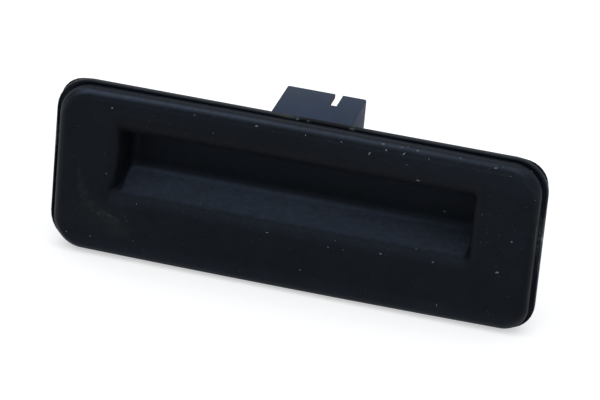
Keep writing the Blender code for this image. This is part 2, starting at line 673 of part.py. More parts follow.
def make_press_lever(collection, cutters):
    """The rocker: a plate on the rubber's roof, two eyes and an arm that reaches down behind the tub."""
    plastic = finish("natural_acetal", (0.62, 0.62, 0.58), 0.42)
    low = (-LEVER_HALF_WIDTH, LEVER_FRONT, LEVER_LOW)
    high = (LEVER_HALF_WIDTH, LEVER_BACK, LEVER_TOP)
    lever = box("press_lever", low, high, collection, plastic)
    soften(lever, RIB / 4)
    reach = LEVER_HALF_WIDTH - EYE_WIDTH / 2
    low = (-reach, LEVER_RIB_BACK - RIB, LEVER_TOP - SINK)
    high = (reach, LEVER_RIB_BACK, PIVOT_HEIGHT + RIB_RISE)
    add(lever, box("lever_rib", low, high, cutters))
    for side, right in SIDES:
        inner = (right * (LEVER_HALF_WIDTH - EYE_WIDTH), PIVOT_DEPTH, PIVOT_HEIGHT)
        outer = (right * LEVER_HALF_WIDTH, PIVOT_DEPTH, PIVOT_HEIGHT)
        add(lever, cylinder(f"eye_{side}", ALONG_X, EYE_RADIUS, inner, outer, cutters))
        inner = (inner[0] - right * SINK, PIVOT_DEPTH, PIVOT_HEIGHT)
        outer = (outer[0] + right * SINK, PIVOT_DEPTH, PIVOT_HEIGHT)
        cut(lever, cylinder(f"eye_hole_{side}", ALONG_X, PIN_RADIUS + PIN_PLAY, inner, outer, cutters))
    tip = PLUNGER_HEIGHT - ARM_PASS
    chamfer = ARM_THICKNESS / 2
    outline = [
        (LEVER_BACK - ARM_ROOT, LEVER_TOP - SINK),
        (LEVER_BACK - ARM_ROOT + SINK, ARM_TOP),
        (ARM_BACK - chamfer, ARM_TOP),
        (ARM_BACK, ARM_TOP - chamfer),
        (ARM_BACK, tip),
        (ARM_FRONT + chamfer / 2, tip),
        (ARM_FRONT, tip + chamfer / 2),
        (ARM_FRONT, ARM_LOW),
        (LEVER_BACK, ARM_LOW),
        (LEVER_BACK - SINK / 5, LEVER_TOP - SINK),
    ]
    add(lever, side_prism("lever_arm", outline, -ARM_HALF_WIDTH, ARM_HALF_WIDTH, cutters))
    move_origin(lever, PIVOT)
    return lever


def make_lever_pin(side, right, collection):
    """A plain dowel through one ear and one eye."""
    start = (right * (LEVER_HALF_WIDTH - EYE_WIDTH - TOUCH_GAP), PIVOT_DEPTH, PIVOT_HEIGHT)
    end = (right * (EAR_OUT + TOUCH_GAP), PIVOT_DEPTH, PIVOT_HEIGHT)
    steel = finish(f"pin_steel_{side}", (0.6, 0.6, 0.62), 0.3, 1.0)
    return cylinder(f"lever_pin_{side}", ALONG_X, PIN_RADIUS, start, end, collection, steel)


def make_lever_spring(side, right, collection):
    """A small coil spring between the lever and the hood above it, with a closed turn at each end."""
    low = LEVER_TOP + TOUCH_GAP + SPRING_WIRE / 2
    high = HOOD_CEILING - TOUCH_GAP - SPRING_WIRE / 2
    per_turn = 14
    count = SPRING_TURNS * per_turn
    closed = SPRING_WIRE * 1.3 * 0.75
    name = f"lever_spring_{side}"
    curve = bpy.data.curves.new(name, "CURVE")
    curve.dimensions = "3D"
    curve.bevel_depth = SPRING_WIRE / 2
    curve.bevel_resolution = 2
    curve.use_fill_caps = True
    line = curve.splines.new("POLY")
    line.points.add(count)
    for i in range(count + 1):
        turn = i / per_turn
        free = min(max((turn - 0.75) / (SPRING_TURNS - 1.5), 0), 1)
        ends = min(turn, 0.75) + max(turn - SPRING_TURNS + 0.75, 0)
        z = low + closed * ends / 0.75 + (high - low - 2 * closed) * free
        angle = 2 * math.pi * turn
        x = right * SPRING_X + SPRING_RADIUS * math.cos(angle)
        depth = SPRING_DEPTH + SPRING_RADIUS * math.sin(angle)
        line.points[i].co = (*place(x, depth, z), 1)
    curve.materials.append(finish(f"spring_steel_{side}", (0.55, 0.55, 0.56), 0.35, 1.0))
    spring = bpy.data.objects.new(name, curve)
    collection.objects.link(spring)
    return spring


def make_switch_housing(collection, cutters):
    """Connector shroud, hood over the lever's arm, switch chamber below it and two screw lugs."""
    plastic = finish("grey_black_plastic", (0.06, 0.066, 0.08), 0.45)
    half = SHROUD_WIDTH / 2
    over_tub = TUB_TOP + TOUCH_GAP
    over_lever = over_tub + PIVOT_RISE
    step = LEVER_BACK + 2 * WINDOW_PLAY
    outline = [
        (HOOD_FRONT, SHROUD_TOP),
        (SHROUD_BACK, SHROUD_TOP),
        (SHROUD_BACK, SHROUD_LOW),
        (TUB_BACK + TOUCH_GAP, SHROUD_LOW),
        (TUB_BACK + TOUCH_GAP, over_tub),
        (step, over_tub),
        (step, over_lever),
        (HOOD_FRONT, over_lever),
    ]
    housing = side_prism("switch_housing", outline, -half, half, collection, plastic)
    soften(housing, SHROUD_ROUND)
    outer = CHAMBER_HALF + SHROUD_WALL
    low = (-outer, CHAMBER_FRONT - CHAMBER_LIP, CHAMBER_LOW - SHROUD_WALL)
    high = (outer, SHROUD_BACK, SHROUD_LOW + SINK)
    add(housing, box("switch_chamber", low, high, cutters))
    for side, right in SIDES:
        xs = sorted((right * (outer - SINK), right * LUG_REACH))
        low = (xs[0], LUG_FRONT, LUG_HEIGHT - LUG_RADIUS)
        high = (xs[1], LUG_BACK, LUG_HEIGHT + LUG_RADIUS)
        web = box(f"lug_web_{side}", low, high, cutters)
        start = (right * LUG_REACH, LUG_FRONT, LUG_HEIGHT)
        end = (right * LUG_REACH, LUG_BACK, LUG_HEIGHT)
        add(housing, web, cylinder(f"lug_tip_{side}", ALONG_Y, LUG_RADIUS, start, end, cutters))
        start = (right * LUG_REACH, LUG_FRONT - SINK, LUG_HEIGHT)
        end = (right * LUG_REACH, LUG_BACK + SINK, LUG_HEIGHT)
        cut(housing, cylinder(f"lug_hole_{side}", ALONG_Y, SCREW_RADIUS + TOUCH_GAP, start, end, cutters))
    cut_housing(housing, cutters)
    return housing


def cut_housing(housing, cutters):
    """Socket, keyway, arm space, switch chamber, pin holes and latch windows."""
    floor = SHROUD_LOW + SHROUD_WALL
    low = (-SHROUD_INNER, SOCKET_FRONT, floor)
    high = (SHROUD_INNER, SHROUD_BACK + SHROUD_WALL, HOOD_CEILING)
    socket = box("socket", low, high, cutters)
    soften(socket, SHROUD_ROUND)
    low = (KEYWAY_X - KEYWAY_WIDTH / 2, SOCKET_FRONT + KEYWAY_STOP, HOOD_CEILING - SINK)
    high = (KEYWAY_X + KEYWAY_WIDTH / 2, SHROUD_BACK + SINK, SHROUD_TOP + SINK)
    keyway = box("keyway", low, high, cutters)
    low = (-SHROUD_INNER, HOOD_FRONT - SINK, floor)
    high = (SHROUD_INNER, SOCKET_WALL_FRONT, HOOD_CEILING)
    hood_space = box("hood_space", low, high, cutters)
    gate = ARM_HALF_WIDTH + GATE_ROOM
    low = (-gate, TUB_BACK, CHAMBER_LOW)
    high = (gate, CHAMBER_FRONT + SINK, floor + SINK)
    arm_gate = box("arm_gate", low, high, cutters)
    low = (-CHAMBER_HALF, STRIP_FRONT - TOUCH_GAP, SHROUD_LOW - SINK)
    high = (CHAMBER_HALF, SOCKET_WALL_FRONT, floor + SINK)
    strip_gate = box("strip_gate", low, high, cutters)
    low = (-CHAMBER_HALF, CHAMBER_FRONT, CHAMBER_LOW)
    high = (CHAMBER_HALF, SHROUD_BACK + SINK, SHROUD_LOW)
    chamber = box("chamber", low, high, cutters)
    cut(housing, socket, keyway, hood_space, arm_gate, strip_gate, chamber)
    half_width = STRIP_WIDTH / 2 + TOUCH_GAP
    half_height = STRIP / 2 + TOUCH_GAP
    for side, right in SIDES:
        low = (right * PIN_X - half_width, SOCKET_WALL_FRONT - SINK, PIN_HEIGHT - half_height)
        high = (right * PIN_X + half_width, SOCKET_FRONT + SINK, PIN_HEIGHT + half_height)
        cut(housing, box(f"pin_hole_{side}", low, high, cutters))
        xs = sorted((right * (CHAMBER_HALF - SINK), right * (CHAMBER_HALF + SHROUD_WALL + SINK)))
        low = (xs[0], PLATE_BACK - COVER_PLATE - TOUCH_GAP, PLUNGER_HEIGHT - LATCH_HALF_HEIGHT - TOUCH_GAP)
        high = (xs[1], PLATE_BACK - TOUCH_GAP, PLUNGER_HEIGHT + LATCH_HALF_HEIGHT + TOUCH_GAP)
        cut(housing, box(f"latch_window_{side}", low, high, cutters))


def make_switch_cover(collection, cutters):
    """Lid that closes the switch chamber. Its feet hold the switch and its latches sit in the windows."""
    half = SWITCH_WIDTH / 2
    front = PLATE_BACK - COVER_PLATE
    plastic = finish("black_cover_plastic", (0.02, 0.02, 0.022), 0.5)
    low = (-half, front, SWITCH_LOW)
    high = (half, PLATE_BACK, SHROUD_LOW - TOUCH_GAP)
    cover = box("switch_cover", low, high, collection, plastic)
    soften(cover, SHROUD_ROUND / 2)
    for side, right in SIDES:
        xs = sorted((right * (half - SINK), right * (CHAMBER_HALF + SHROUD_WALL * 0.6)))
        low = (xs[0], front + TOUCH_GAP, PLUNGER_HEIGHT - LATCH_HALF_HEIGHT)
        high = (xs[1], PLATE_BACK - 2 * TOUCH_GAP, PLUNGER_HEIGHT + LATCH_HALF_HEIGHT)
        add(cover, box(f"cover_latch_{side}", low, high, cutters))
        xs = sorted((right * (half - SINK), right * (half - RIB - SINK)))
        low = (xs[0], SWITCH_BACK + TOUCH_GAP, SWITCH_LOW + SINK)
        high = (xs[1], front + SINK, SWITCH_TOP - SINK)
        add(cover, box(f"cover_foot_{side}", low, high, cutters))
    return cover


def make_switch(collection, cutters):
    """Case, lid, plunger, bridge, fixed contacts and connector pins of the small switch."""
    plastic = finish("switch_case_plastic", (0.035, 0.037, 0.042), 0.4)
    half = SWITCH_WIDTH / 2
    lid_front = SWITCH_BACK - SWITCH_LID
    case_back = lid_front - TOUCH_GAP
    low = (-half, SWITCH_FRONT, SWITCH_LOW)
    case = box("switch_case", low, (half, case_back, SWITCH_TOP), collection, plastic)
    soften(case, SHROUD_ROUND / 2, 1)
    room = half - SWITCH_WALL
    floor = SWITCH_FRONT + SWITCH_FACE
    low = (-room, floor, SWITCH_LOW + SWITCH_WALL)
    high = (room, case_back + SINK, SWITCH_TOP - SWITCH_WALL)
    hollow = box("switch_hollow", low, high, cutters)
    start = (0, SWITCH_FRONT - SINK, PLUNGER_HEIGHT)
    end = (0, floor + SINK, PLUNGER_HEIGHT)
    hole = cylinder("plunger_hole", ALONG_Y, PLUNGER_RADIUS + PIN_PLAY, start, end, cutters)
    cut(case, hollow, hole)
    flange = floor + TOUCH_GAP
    bridge_front = flange + PLUNGER_FLANGE + TOUCH_GAP
    bridge_back = bridge_front + BRIDGE_THICKNESS
    contact_front = bridge_back + PLUNGER_TRAVEL + TOUCH_GAP
    for side, right in SIDES:
        x = right * PIN_X
        wide = STRIP_WIDTH / 2 + TOUCH_GAP
        low = (x - wide, contact_front - TOUCH_GAP, SWITCH_TOP - SWITCH_WALL - SINK)
        high = (x + wide, contact_front + CONTACT_THICKNESS + TOUCH_GAP, SWITCH_TOP + SINK)
        cut(case, box(f"terminal_slot_{side}", low, high, cutters))
        low = (x - STRIP_WIDTH / 2, contact_front, SWITCH_LOW + SWITCH_WALL + TOUCH_GAP)
        high = (x + STRIP_WIDTH / 2, contact_front + CONTACT_THICKNESS, SHROUD_LOW - STRIP_LIFT)
        copper = finish(f"contact_copper_{side}", (0.72, 0.42, 0.25), 0.35, 1.0)
        box(f"fixed_contact_{side}", low, high, collection, copper)
        make_connector_pin(side, x, contact_front - TOUCH_GAP, collection)
    low = (-half, lid_front, SWITCH_LOW)
    lid = box("switch_lid", low, (half, SWITCH_BACK, SWITCH_TOP), collection, plastic)
    low = (-room + TOUCH_GAP, lid_front - SWITCH_WALL, SWITCH_LOW + SWITCH_WALL + TOUCH_GAP)
    high = (room - TOUCH_GAP, lid_front + TOUCH_GAP, SWITCH_TOP - SWITCH_WALL - TOUCH_GAP)
    add(lid, box("lid_spigot", low, high, cutters))
    make_plunger(collection, cutters, flange, bridge_front, bridge_back)


def make_plunger(collection, cutters, flange, bridge_front, bridge_back):
    """The button of the switch, and the bridge that it carries on its spigot."""
    white = finish("white_plunger_plastic", (0.75, 0.75, 0.72), 0.4)
    start = (0, PLUNGER_TIP, PLUNGER_HEIGHT)
    seat = (0, flange, PLUNGER_HEIGHT)
    end = (0, flange + PLUNGER_FLANGE / 2, PLUNGER_HEIGHT)
    plunger = cylinder("switch_plunger", ALONG_Y, PLUNGER_RADIUS, start, end, collection, white)
    end = (0, flange + PLUNGER_FLANGE, PLUNGER_HEIGHT)
    head = cylinder("plunger_head", ALONG_Y, PLUNGER_RADIUS * 1.5, seat, end, cutters)
    end = (0, bridge_back + SINK, PLUNGER_HEIGHT)
    spigot = cylinder("plunger_spigot", ALONG_Y, PLUNGER_RADIUS / 2, seat, end, cutters)
    add(plunger, head, spigot)
    move_origin(plunger, place(*start))
    reach = PIN_X + STRIP_WIDTH / 2
    copper = finish("bridge_copper", (0.72, 0.42, 0.25), 0.35, 1.0)
    low = (-reach, bridge_front, PLUNGER_HEIGHT - PLUNGER_RADIUS)
    high = (reach, bridge_back, PLUNGER_HEIGHT + PLUNGER_RADIUS)
    bar = box("contact_bridge", low, high, collection, copper)
    start = (0, bridge_front - SINK, PLUNGER_HEIGHT)
    end = (0, bridge_back + SINK, PLUNGER_HEIGHT)
    cut(bar, cylinder("bridge_hole", ALONG_Y, PLUNGER_RADIUS / 2 + PIN_PLAY, start, end, cutters))
    move_origin(bar, place(0, bridge_front, PLUNGER_HEIGHT))


def make_connector_pin(side, x, foot_end, collection):
    """A stamped strip from the switch's terminal, up the socket's wall and back into the socket."""
    foot = SWITCH_TOP + STRIP_LIFT
    top = PIN_HEIGHT + STRIP / 2
    tip = SHROUD_BACK - PIN_SHORT
    point = STRIP / 3
    outline = [
        (foot_end, foot),
        (STRIP_FRONT, foot),
        (STRIP_FRONT, top),
        (tip - STRIP, top),
        (tip, top - point),
        (tip, top - STRIP + point),
        (tip - STRIP, top - STRIP),
        (STRIP_FRONT + STRIP, top - STRIP),
        (STRIP_FRONT + STRIP, foot + STRIP),
        (foot_end, foot + STRIP),
    ]
    tin = finish(f"pin_tin_{side}", (0.7, 0.69, 0.66), 0.3, 1.0)
    ends = (x - STRIP_WIDTH / 2, x + STRIP_WIDTH / 2)
    side_prism(f"connector_pin_{side}", outline, *ends, collection, tin)


def make_housing_screw(side, right, collection, cutters):
    """Pan-head screw through a lug into its boss. Its thread is left to the finish."""
    x = right * LUG_REACH
    under = LUG_BACK + TOUCH_GAP
    steel = finish(f"screw_zinc_{side}", (0.55, 0.56, 0.58), 0.35, 1.0)
    start = (x, TUB_BACK + BOSS_FLOOR + 2 * TOUCH_GAP, LUG_HEIGHT)
    end = (x, under + SINK, LUG_HEIGHT)
    screw = cylinder(f"housing_screw_{side}", ALONG_Y, SCREW_RADIUS, start, end, collection, steel)
    start = (x, under, LUG_HEIGHT)
    end = (x, under + SCREW_HEAD_HEIGHT, LUG_HEIGHT)
    add(screw, cylinder(f"screw_head_{side}", ALONG_Y, SCREW_HEAD, start, end, cutters))


def make_retaining_clip(side, right, collection):
    """Spring steel strip over the collar's tongue. Its outer leg bows out behind the panel."""
    clear = TOUCH_GAP + CLIP_STEEL / 2
    inner = COLLAR_HALF_WIDTH - COLLAR_WALL - clear
    outer = COLLAR_HALF_WIDTH + clear
    back = TONGUE_BACK + clear
    bend = CLIP_STEEL * 0.6
    line = [
        (inner, COLLAR_BACK - CLIP_OVERLAP),
        (inner, back - bend),
        (inner + bend, back),
        (outer - bend, back),
        (outer, back - bend),
        (outer + CLIP_SPREAD * 0.85, PANEL_BACK + 3 * CLIP_STEEL),
        (outer + CLIP_SPREAD, PANEL_BACK + 2 * CLIP_STEEL),
        (outer + CLIP_SPREAD * 0.85, PANEL_BACK + CLIP_STEEL),
        (outer + bend, PANEL_BACK - bend),
    ]
    bm = bmesh.new()
    edges = []
    for z in (-CLIP_WIDTH / 2, CLIP_WIDTH / 2):
        edges.append([bm.verts.new(place(right * x, depth, z)) for x, depth in line])
    for i in range(len(line) - 1):
        bm.faces.new((edges[0][i], edges[0][i + 1], edges[1][i + 1], edges[1][i]))
    steel = finish(f"clip_steel_{side}", (0.32, 0.33, 0.36), 0.3, 1.0)
    clip = mesh_object(f"retaining_clip_{side}", bm, collection, steel)
    sheet = clip.modifiers.new("steel", "SOLIDIFY")
    sheet.thickness = CLIP_STEEL
    sheet.offset = 0.0
    sheet.use_even_offset = True
    return clip


def build():
    clear_scene()
    parts = new_collection("trunk_lid_handle")
    cutters = new_collection("cutters")
    make_soft_cover(parts)
    make_carrier_frame(parts, cutters)
    make_panel_gasket(parts)
    make_press_lever(parts, cutters)
    make_switch_housing(parts, cutters)
    make_switch_cover(parts, cutters)
    make_switch(parts, cutters)
    for side, right in SIDES:
        make_lever_pin(side, right, parts)
        make_lever_spring(side, right, parts)
        make_housing_screw(side, right, parts, cutters)
        make_retaining_clip(side, right, parts)


build()
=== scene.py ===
# %% [markdown]
# # A trunk lid handle
# The handle sits in a car's tailgate. Four fingers go into the long recess and lift its rubber roof.
# A lever behind the rubber then presses a small switch, whose plug goes into the shroud at the back.
# The solids are already made, so this file gives each piece its finish and its fine shape, and lights it.

# %% Start
import json
import math

import bmesh
import bpy
import numpy as np
from mathutils import Matrix, Vector, noise
from mathutils.bvhtree import BVHTree

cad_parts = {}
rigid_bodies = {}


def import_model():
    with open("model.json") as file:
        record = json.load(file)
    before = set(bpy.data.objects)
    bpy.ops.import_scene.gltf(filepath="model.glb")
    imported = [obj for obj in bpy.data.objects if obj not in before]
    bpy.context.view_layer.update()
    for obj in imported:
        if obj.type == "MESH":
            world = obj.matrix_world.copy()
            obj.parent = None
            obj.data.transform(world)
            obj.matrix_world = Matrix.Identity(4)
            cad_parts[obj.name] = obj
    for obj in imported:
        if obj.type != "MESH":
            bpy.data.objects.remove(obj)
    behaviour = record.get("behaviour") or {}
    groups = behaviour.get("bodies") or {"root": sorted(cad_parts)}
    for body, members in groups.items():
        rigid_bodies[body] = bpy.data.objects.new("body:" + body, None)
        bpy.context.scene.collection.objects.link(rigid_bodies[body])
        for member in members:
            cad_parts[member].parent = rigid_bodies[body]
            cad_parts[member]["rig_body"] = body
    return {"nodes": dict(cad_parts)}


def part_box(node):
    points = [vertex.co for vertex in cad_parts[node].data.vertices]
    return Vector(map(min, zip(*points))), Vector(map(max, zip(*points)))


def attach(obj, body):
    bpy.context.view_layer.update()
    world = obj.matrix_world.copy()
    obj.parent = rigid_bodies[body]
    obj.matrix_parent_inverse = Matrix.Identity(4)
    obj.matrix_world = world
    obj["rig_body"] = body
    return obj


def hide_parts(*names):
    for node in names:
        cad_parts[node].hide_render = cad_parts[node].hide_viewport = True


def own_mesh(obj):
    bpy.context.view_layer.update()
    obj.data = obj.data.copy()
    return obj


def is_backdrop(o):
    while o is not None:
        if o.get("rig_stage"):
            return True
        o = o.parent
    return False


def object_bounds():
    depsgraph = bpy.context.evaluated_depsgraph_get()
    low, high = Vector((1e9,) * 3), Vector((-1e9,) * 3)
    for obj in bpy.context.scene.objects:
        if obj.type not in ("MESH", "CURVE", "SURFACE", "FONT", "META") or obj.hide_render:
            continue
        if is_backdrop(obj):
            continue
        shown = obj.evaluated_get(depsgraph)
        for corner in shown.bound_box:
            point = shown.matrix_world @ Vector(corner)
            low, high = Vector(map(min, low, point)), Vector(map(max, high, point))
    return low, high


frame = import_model()
solid_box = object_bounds()
print("solids:", len(frame["nodes"]), "box", [[round(c * 1000, 1) for c in corner] for corner in solid_box])

# %% [markdown]
# ## Millimetres and the front of the rubber
# Sizes below are real millimetres. Depths count from the flat front of the rubber, so the cover's own
# box says where that front lies.

# %% Measures
MM = 0.001
FRONT_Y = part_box("soft_cover")[0].y


def place(x, depth, z):
    """A point in metres, from millimetres to the right, behind the rubber's front, and up."""
    return Vector((x * MM, FRONT_Y + depth * MM, z * MM))


print("front of the rubber at y =", round(FRONT_Y * 1000, 2), "mm")

# %% [markdown]
# ## Objects and meshes
# Three steps come again and again: a mesh taken from bmesh, an object put into the scene, and an
# object whose modifiers are turned into its own plain mesh. Each gets a short function.


# %% Object helpers
def mesh_from(bm, name):
    """A mesh from a bmesh, which is then let go."""
    mesh = bpy.data.meshes.new(name)
    bm.to_mesh(mesh)
    bm.free()
    return mesh


def put_in_scene(name, data):
    """A new object with this data, linked to the scene."""
    obj = bpy.data.objects.new(name, data)
    bpy.context.scene.collection.objects.link(obj)
    return obj


def keep_result(obj):
    """Make what the modifiers give the object's own mesh, and take the modifiers off."""
    plain = bpy.data.meshes.new_from_object(obj.evaluated_get(bpy.context.evaluated_depsgraph_get()))
    obj.modifiers.clear()
    obj.data = plain


# %% [markdown]
# ## The camera
# The photograph was taken from the right and from above with a long lens, tilted a little. The lens
# and the place come from the handle's outline in the picture: its long sides hardly converge.

# %% Camera
LENS, SENSOR_WIDTH = 237.52, 36.0  # in millimetres
EYE = place(174.97, -805.23, 403.44)
TO_RIGHT = Vector((0.96497, 0.24875, 0.08341))  # the directions of the picture's sides
TO_TOP = Vector((-0.18212, 0.40627, 0.89542))
TO_BACK = Vector((0.18885, -0.87924, 0.43734))

camera = put_in_scene("camera", bpy.data.cameras.new("camera"))
camera.data.lens = LENS
camera.data.sensor_width = SENSOR_WIDTH
camera.data.sensor_fit = "HORIZONTAL"
camera.data.clip_start = 0.05
camera.data.clip_end = 20.0
turned = Matrix((TO_RIGHT, TO_TOP, TO_BACK)).transposed().to_4x4()
camera.matrix_world = Matrix.Translation(EYE) @ turned
bpy.context.scene.camera = camera
bpy.context.scene.view_settings.view_transform = "Standard"
print("camera", round((camera.location - place(0, 0, 0)).length, 3), "m away")

# %% [markdown]
# ## Colours and shader nodes
# Colours are written as the hex values a screen shows, and turned to the linear values that a shader
# needs. One function adds any node with its settings and links, which keeps the material cells short.
# A node given to it as an input stands for its first output.


# %% Colour and node helpers
def tone(code):
    """A hex colour such as #1c1e22 as linear red, green, blue and alpha."""
    parts = [int(code[i:i + 2], 16) / 255 for i in (1, 3, 5)]
    return (*[c / 12.92 if c < 0.04045 else ((c + 0.055) / 1.055) ** 2.4 for c in parts], 1.0)


def feed(tree, node, inputs):
    """Fill sockets, by name or number, with a value, a hex colour, a socket or a node."""
    for key, value in dict(inputs).items():
        if isinstance(value, bpy.types.Node):
            value = value.outputs[0]
        if isinstance(value, bpy.types.NodeSocket):
            tree.links.new(value, node.inputs[key])
        else:
            node.inputs[key].default_value = tone(value) if isinstance(value, str) else value


def add(tree, kind, inputs=(), **settings):
    """One node of any kind, with its settings, values and links."""
    node = tree.nodes.new(kind)
    for name, value in settings.items():
        setattr(node, name, value)
    feed(tree, node, inputs)
    return node


print("rubber black in linear light:", [round(c, 4) for c in tone("#060809")])

# %% [markdown]
# ### What every material starts with
# Each material reads its place on the object in millimetres, so a pattern's scale is one divided by a
# real size. Its colour is built up in coats, as a surface gets dirty: what it is made of first, and
# over it what lies on it, each coat with its share. Some coats are painted light or painted shade.
# Worn and dirty places, and some painted highlights, painted light and painted shade, are patches with
# a soft, ragged edge. A table says where they lie.

# %% Start of a material
PATCH_FULL, PATCH_GONE = 0.9, 2.1  # in half widths from a patch's middle
SHARE, UNDER, OVER, MIXED = 0, 6, 7, 2  # sockets and output of a Mix node that mixes colours
finishes = {}


def start_material(name):
    """A new material with its shader and its place on the object in millimetres."""
    material = bpy.data.materials.new(name)
    material.use_nodes = True
    tree = material.node_tree
    metres = add(tree, "ShaderNodeTexCoord").outputs["Object"]
    where = add(tree, "ShaderNodeVectorMath", {0: metres, "Scale": 1 / MM}, operation="SCALE")
    return material, tree, tree.nodes["Principled BSDF"], where


def coats(tree, colour, *layers):
    """A colour under its coats. Each coat has a share from 0 to 1 and a colour of its own."""
    for share, coat in layers:
        mixed = add(tree, "ShaderNodeMix", {SHARE: share, UNDER: colour, OVER: coat}, data_type="RGBA")
        colour = mixed.outputs[MIXED]
    return colour


def patches(tree, where, table, ragged):
    """Rows give a patch's middle x and z, half width and height in millimetres, and strength."""
    whole = None
    for middle_x, middle_z, wide, tall, strength in table:
        middle, stretch = (middle_x, 0, middle_z), (1 / wide, 0, 1 / tall)
        away = add(tree, "ShaderNodeVectorMath", {0: where, 1: middle}, operation="SUBTRACT")
        away = add(tree, "ShaderNodeVectorMath", {0: away, 1: stretch}, operation="MULTIPLY")
        away = add(tree, "ShaderNodeVectorMath", {0: away}, operation="LENGTH").outputs["Value"]
        away = add(tree, "ShaderNodeMath", {0: away, 1: ragged}, operation="ADD")
        patch = add(tree, "ShaderNodeMapRange", {
            "Value": away, "From Min": PATCH_FULL, "From Max": PATCH_GONE, "To Min": strength, "To Max": 0.0,
        })
        whole = add(tree, "ShaderNodeMath", {0: whole, 1: patch}, operation="MAXIMUM") if whole else patch
    return whole


def keep_finish(slot, material):
    """Put a material in its slot, and say how many nodes it took."""
    finishes[slot] = material
    print(f"{slot}: {material.name}, {len(material.node_tree.nodes)} nodes")


print("patches fade out between", PATCH_FULL, "and", PATCH_GONE, "half widths")

# %% [markdown]
# ## Rubber of the cover
# The front is a thermoplastic rubber, moulded in a tool whose steel was spark-eroded. That leaves a
# grain of about a tenth of a millimetre, too fine to show from here, so it is drawn at almost half a
# millimetre. The grain traps much of the shine, so the specular level is low and what is left is
# bluish. A thin layer of dust lies on what faces up, the top edge and the shelf, and with it go a
# painted highlight along the top edge and painted light on the shelf. The recess's upper edge, where it
# faces down, and the turned right end are made darker with painted shade. At the lower left the dust is
# worn into a greyish green scuff, and thin painted highlights run down the rubber's right edge.

# %% Rubber
SCUFFS_AND_HIGHLIGHTS = (  # the worn places of the rubber, and painted highlights on its right edge: middle x and z, half width and height in mm, and strength
    (-46.1, -10.2, 0.34, 0.30, 0.40),
    (-43.4, -10.5, 0.80, 0.30, 0.30),
    (-41.8, -10.8, 0.34, 0.28, 0.28),
    (-38.9, -11.0, 0.30, 0.26, 0.20),
    (-50.8, -3.8, 0.90, 2.20, 0.07),
    (-49.6, -6.4, 1.10, 1.70, 0.09),
    (-48.0, -8.4, 1.50, 1.20, 0.11),
    (-45.4, -10.2, 2.20, 1.10, 0.14),
    (-42.6, -11.6, 2.60, 1.20, 0.12),
    (-41.2, -13.8, 2.60, 1.80, 0.09),
    (-51.4, -0.8, 0.40, 2.00, 0.07),
    (-46.0, -11.0, 7.00, 4.20, 0.05),
    (36.5, -18.0, 4.50, 1.00, 0.04),
    # the next two rows are painted highlights down the rubber's right edge
    (57.42, 4.1, 0.08, 3.60, 0.50),
    (57.36, -10.5, 0.10, 2.20, 0.10),
)


def rubber_colour(tree, where, dusty, scuff_and_highlight):
    """Black rubber, darker with painted shade, paler under the dust and its painted light, and greyish green
    where it is worn or a highlight is painted.
    """
    darkened = add(tree, "ShaderNodeAttribute", attribute_name="painted_shade").outputs["Fac"]
    dust_and_painted_light = add(tree, "ShaderNodeAttribute", attribute_name="dust_and_painted_light").outputs["Fac"]
    crumbly = {"Vector": where, "Scale": 1 / 1.3, "Detail": 5.0, "Roughness": 0.7}
    crumbly = {"Value": add(tree, "ShaderNodeTexNoise", crumbly), "From Min": 0.3, "From Max": 0.7}
    uneven = add(tree, "ShaderNodeMapRange", {**crumbly, "To Min": 0.72, "To Max": 1.18})
    dust_and_painted_light = add(tree, "ShaderNodeMath", {0: dust_and_painted_light, 1: uneven}, operation="MULTIPLY")
    # painted shade makes it darker, and painted highlight and painted light make it paler, with the dust and
    # scuffs
    dirt_and_painted_light = ((dusty, "#0f1217"), (darkened, "#030405"), (dust_and_painted_light, "#566172"), (scuff_and_highlight, "#4a5452"))
    return coats(tree, "#060809", *dirt_and_painted_light)


def moulded_rubber():
    material, tree, shader, where = start_material("moulded_rubber")
    wipes = {"Vector": where, "Scale": 1 / 16.0, "Detail": 4.0, "Roughness": 0.6}
    mottle = {"Vector": where, "Scale": 1 / 2.6, "Detail": 4.0, "Roughness": 0.65}
    wipes, mottle = (add(tree, "ShaderNodeTexNoise", noisy) for noisy in (wipes, mottle))
    both = add(tree, "ShaderNodeMath", {0: wipes, 1: mottle}, operation="MULTIPLY")
    dusty = add(tree, "ShaderNodeMapRange", {"Value": both, "From Min": 0.16, "From Max": 0.40})
    frayed = {"Vector": where, "Scale": 1 / 0.8, "Detail": 5.0, "Roughness": 0.75}
    frayed = {"Value": add(tree, "ShaderNodeTexNoise", frayed), "From Min": 0.25, "From Max": 0.75}
    ragged = add(tree, "ShaderNodeMapRange", {**frayed, "To Min": -0.3, "To Max": 1.4})
    # scuffs, and painted highlights on the right edge
    scuff_and_highlight = patches(tree, where, SCUFFS_AND_HIGHLIGHTS, ragged)
    matt = add(tree, "ShaderNodeMapRange", {"Value": dusty, "To Min": 0.50, "To Max": 0.60})
    matt = add(tree, "ShaderNodeMath", {0: scuff_and_highlight, 1: 0.2, 2: matt}, operation="MULTIPLY_ADD")
    waves = add(tree, "ShaderNodeTexNoise", {"Vector": where, "Scale": 1 / 9.0})
    waves = add(tree, "ShaderNodeBump", {"Height": waves, "Distance": 0.05 * MM})
    pits = {"Vector": where, "Scale": 1 / 0.45, "Detail": 3.0, "Roughness": 0.6}
    pits = {"Height": add(tree, "ShaderNodeTexNoise", pits), "Distance": 0.015 * MM, "Normal": waves}
    feed(tree, shader, {
        "Base Color": rubber_colour(tree, where, dusty, scuff_and_highlight), "Roughness": matt,
        "Specular IOR Level": 0.12, "Specular Tint": "#c9d9f8", "Normal": add(tree, "ShaderNodeBump", pits),
    })
    return material


keep_finish("rubber", moulded_rubber())
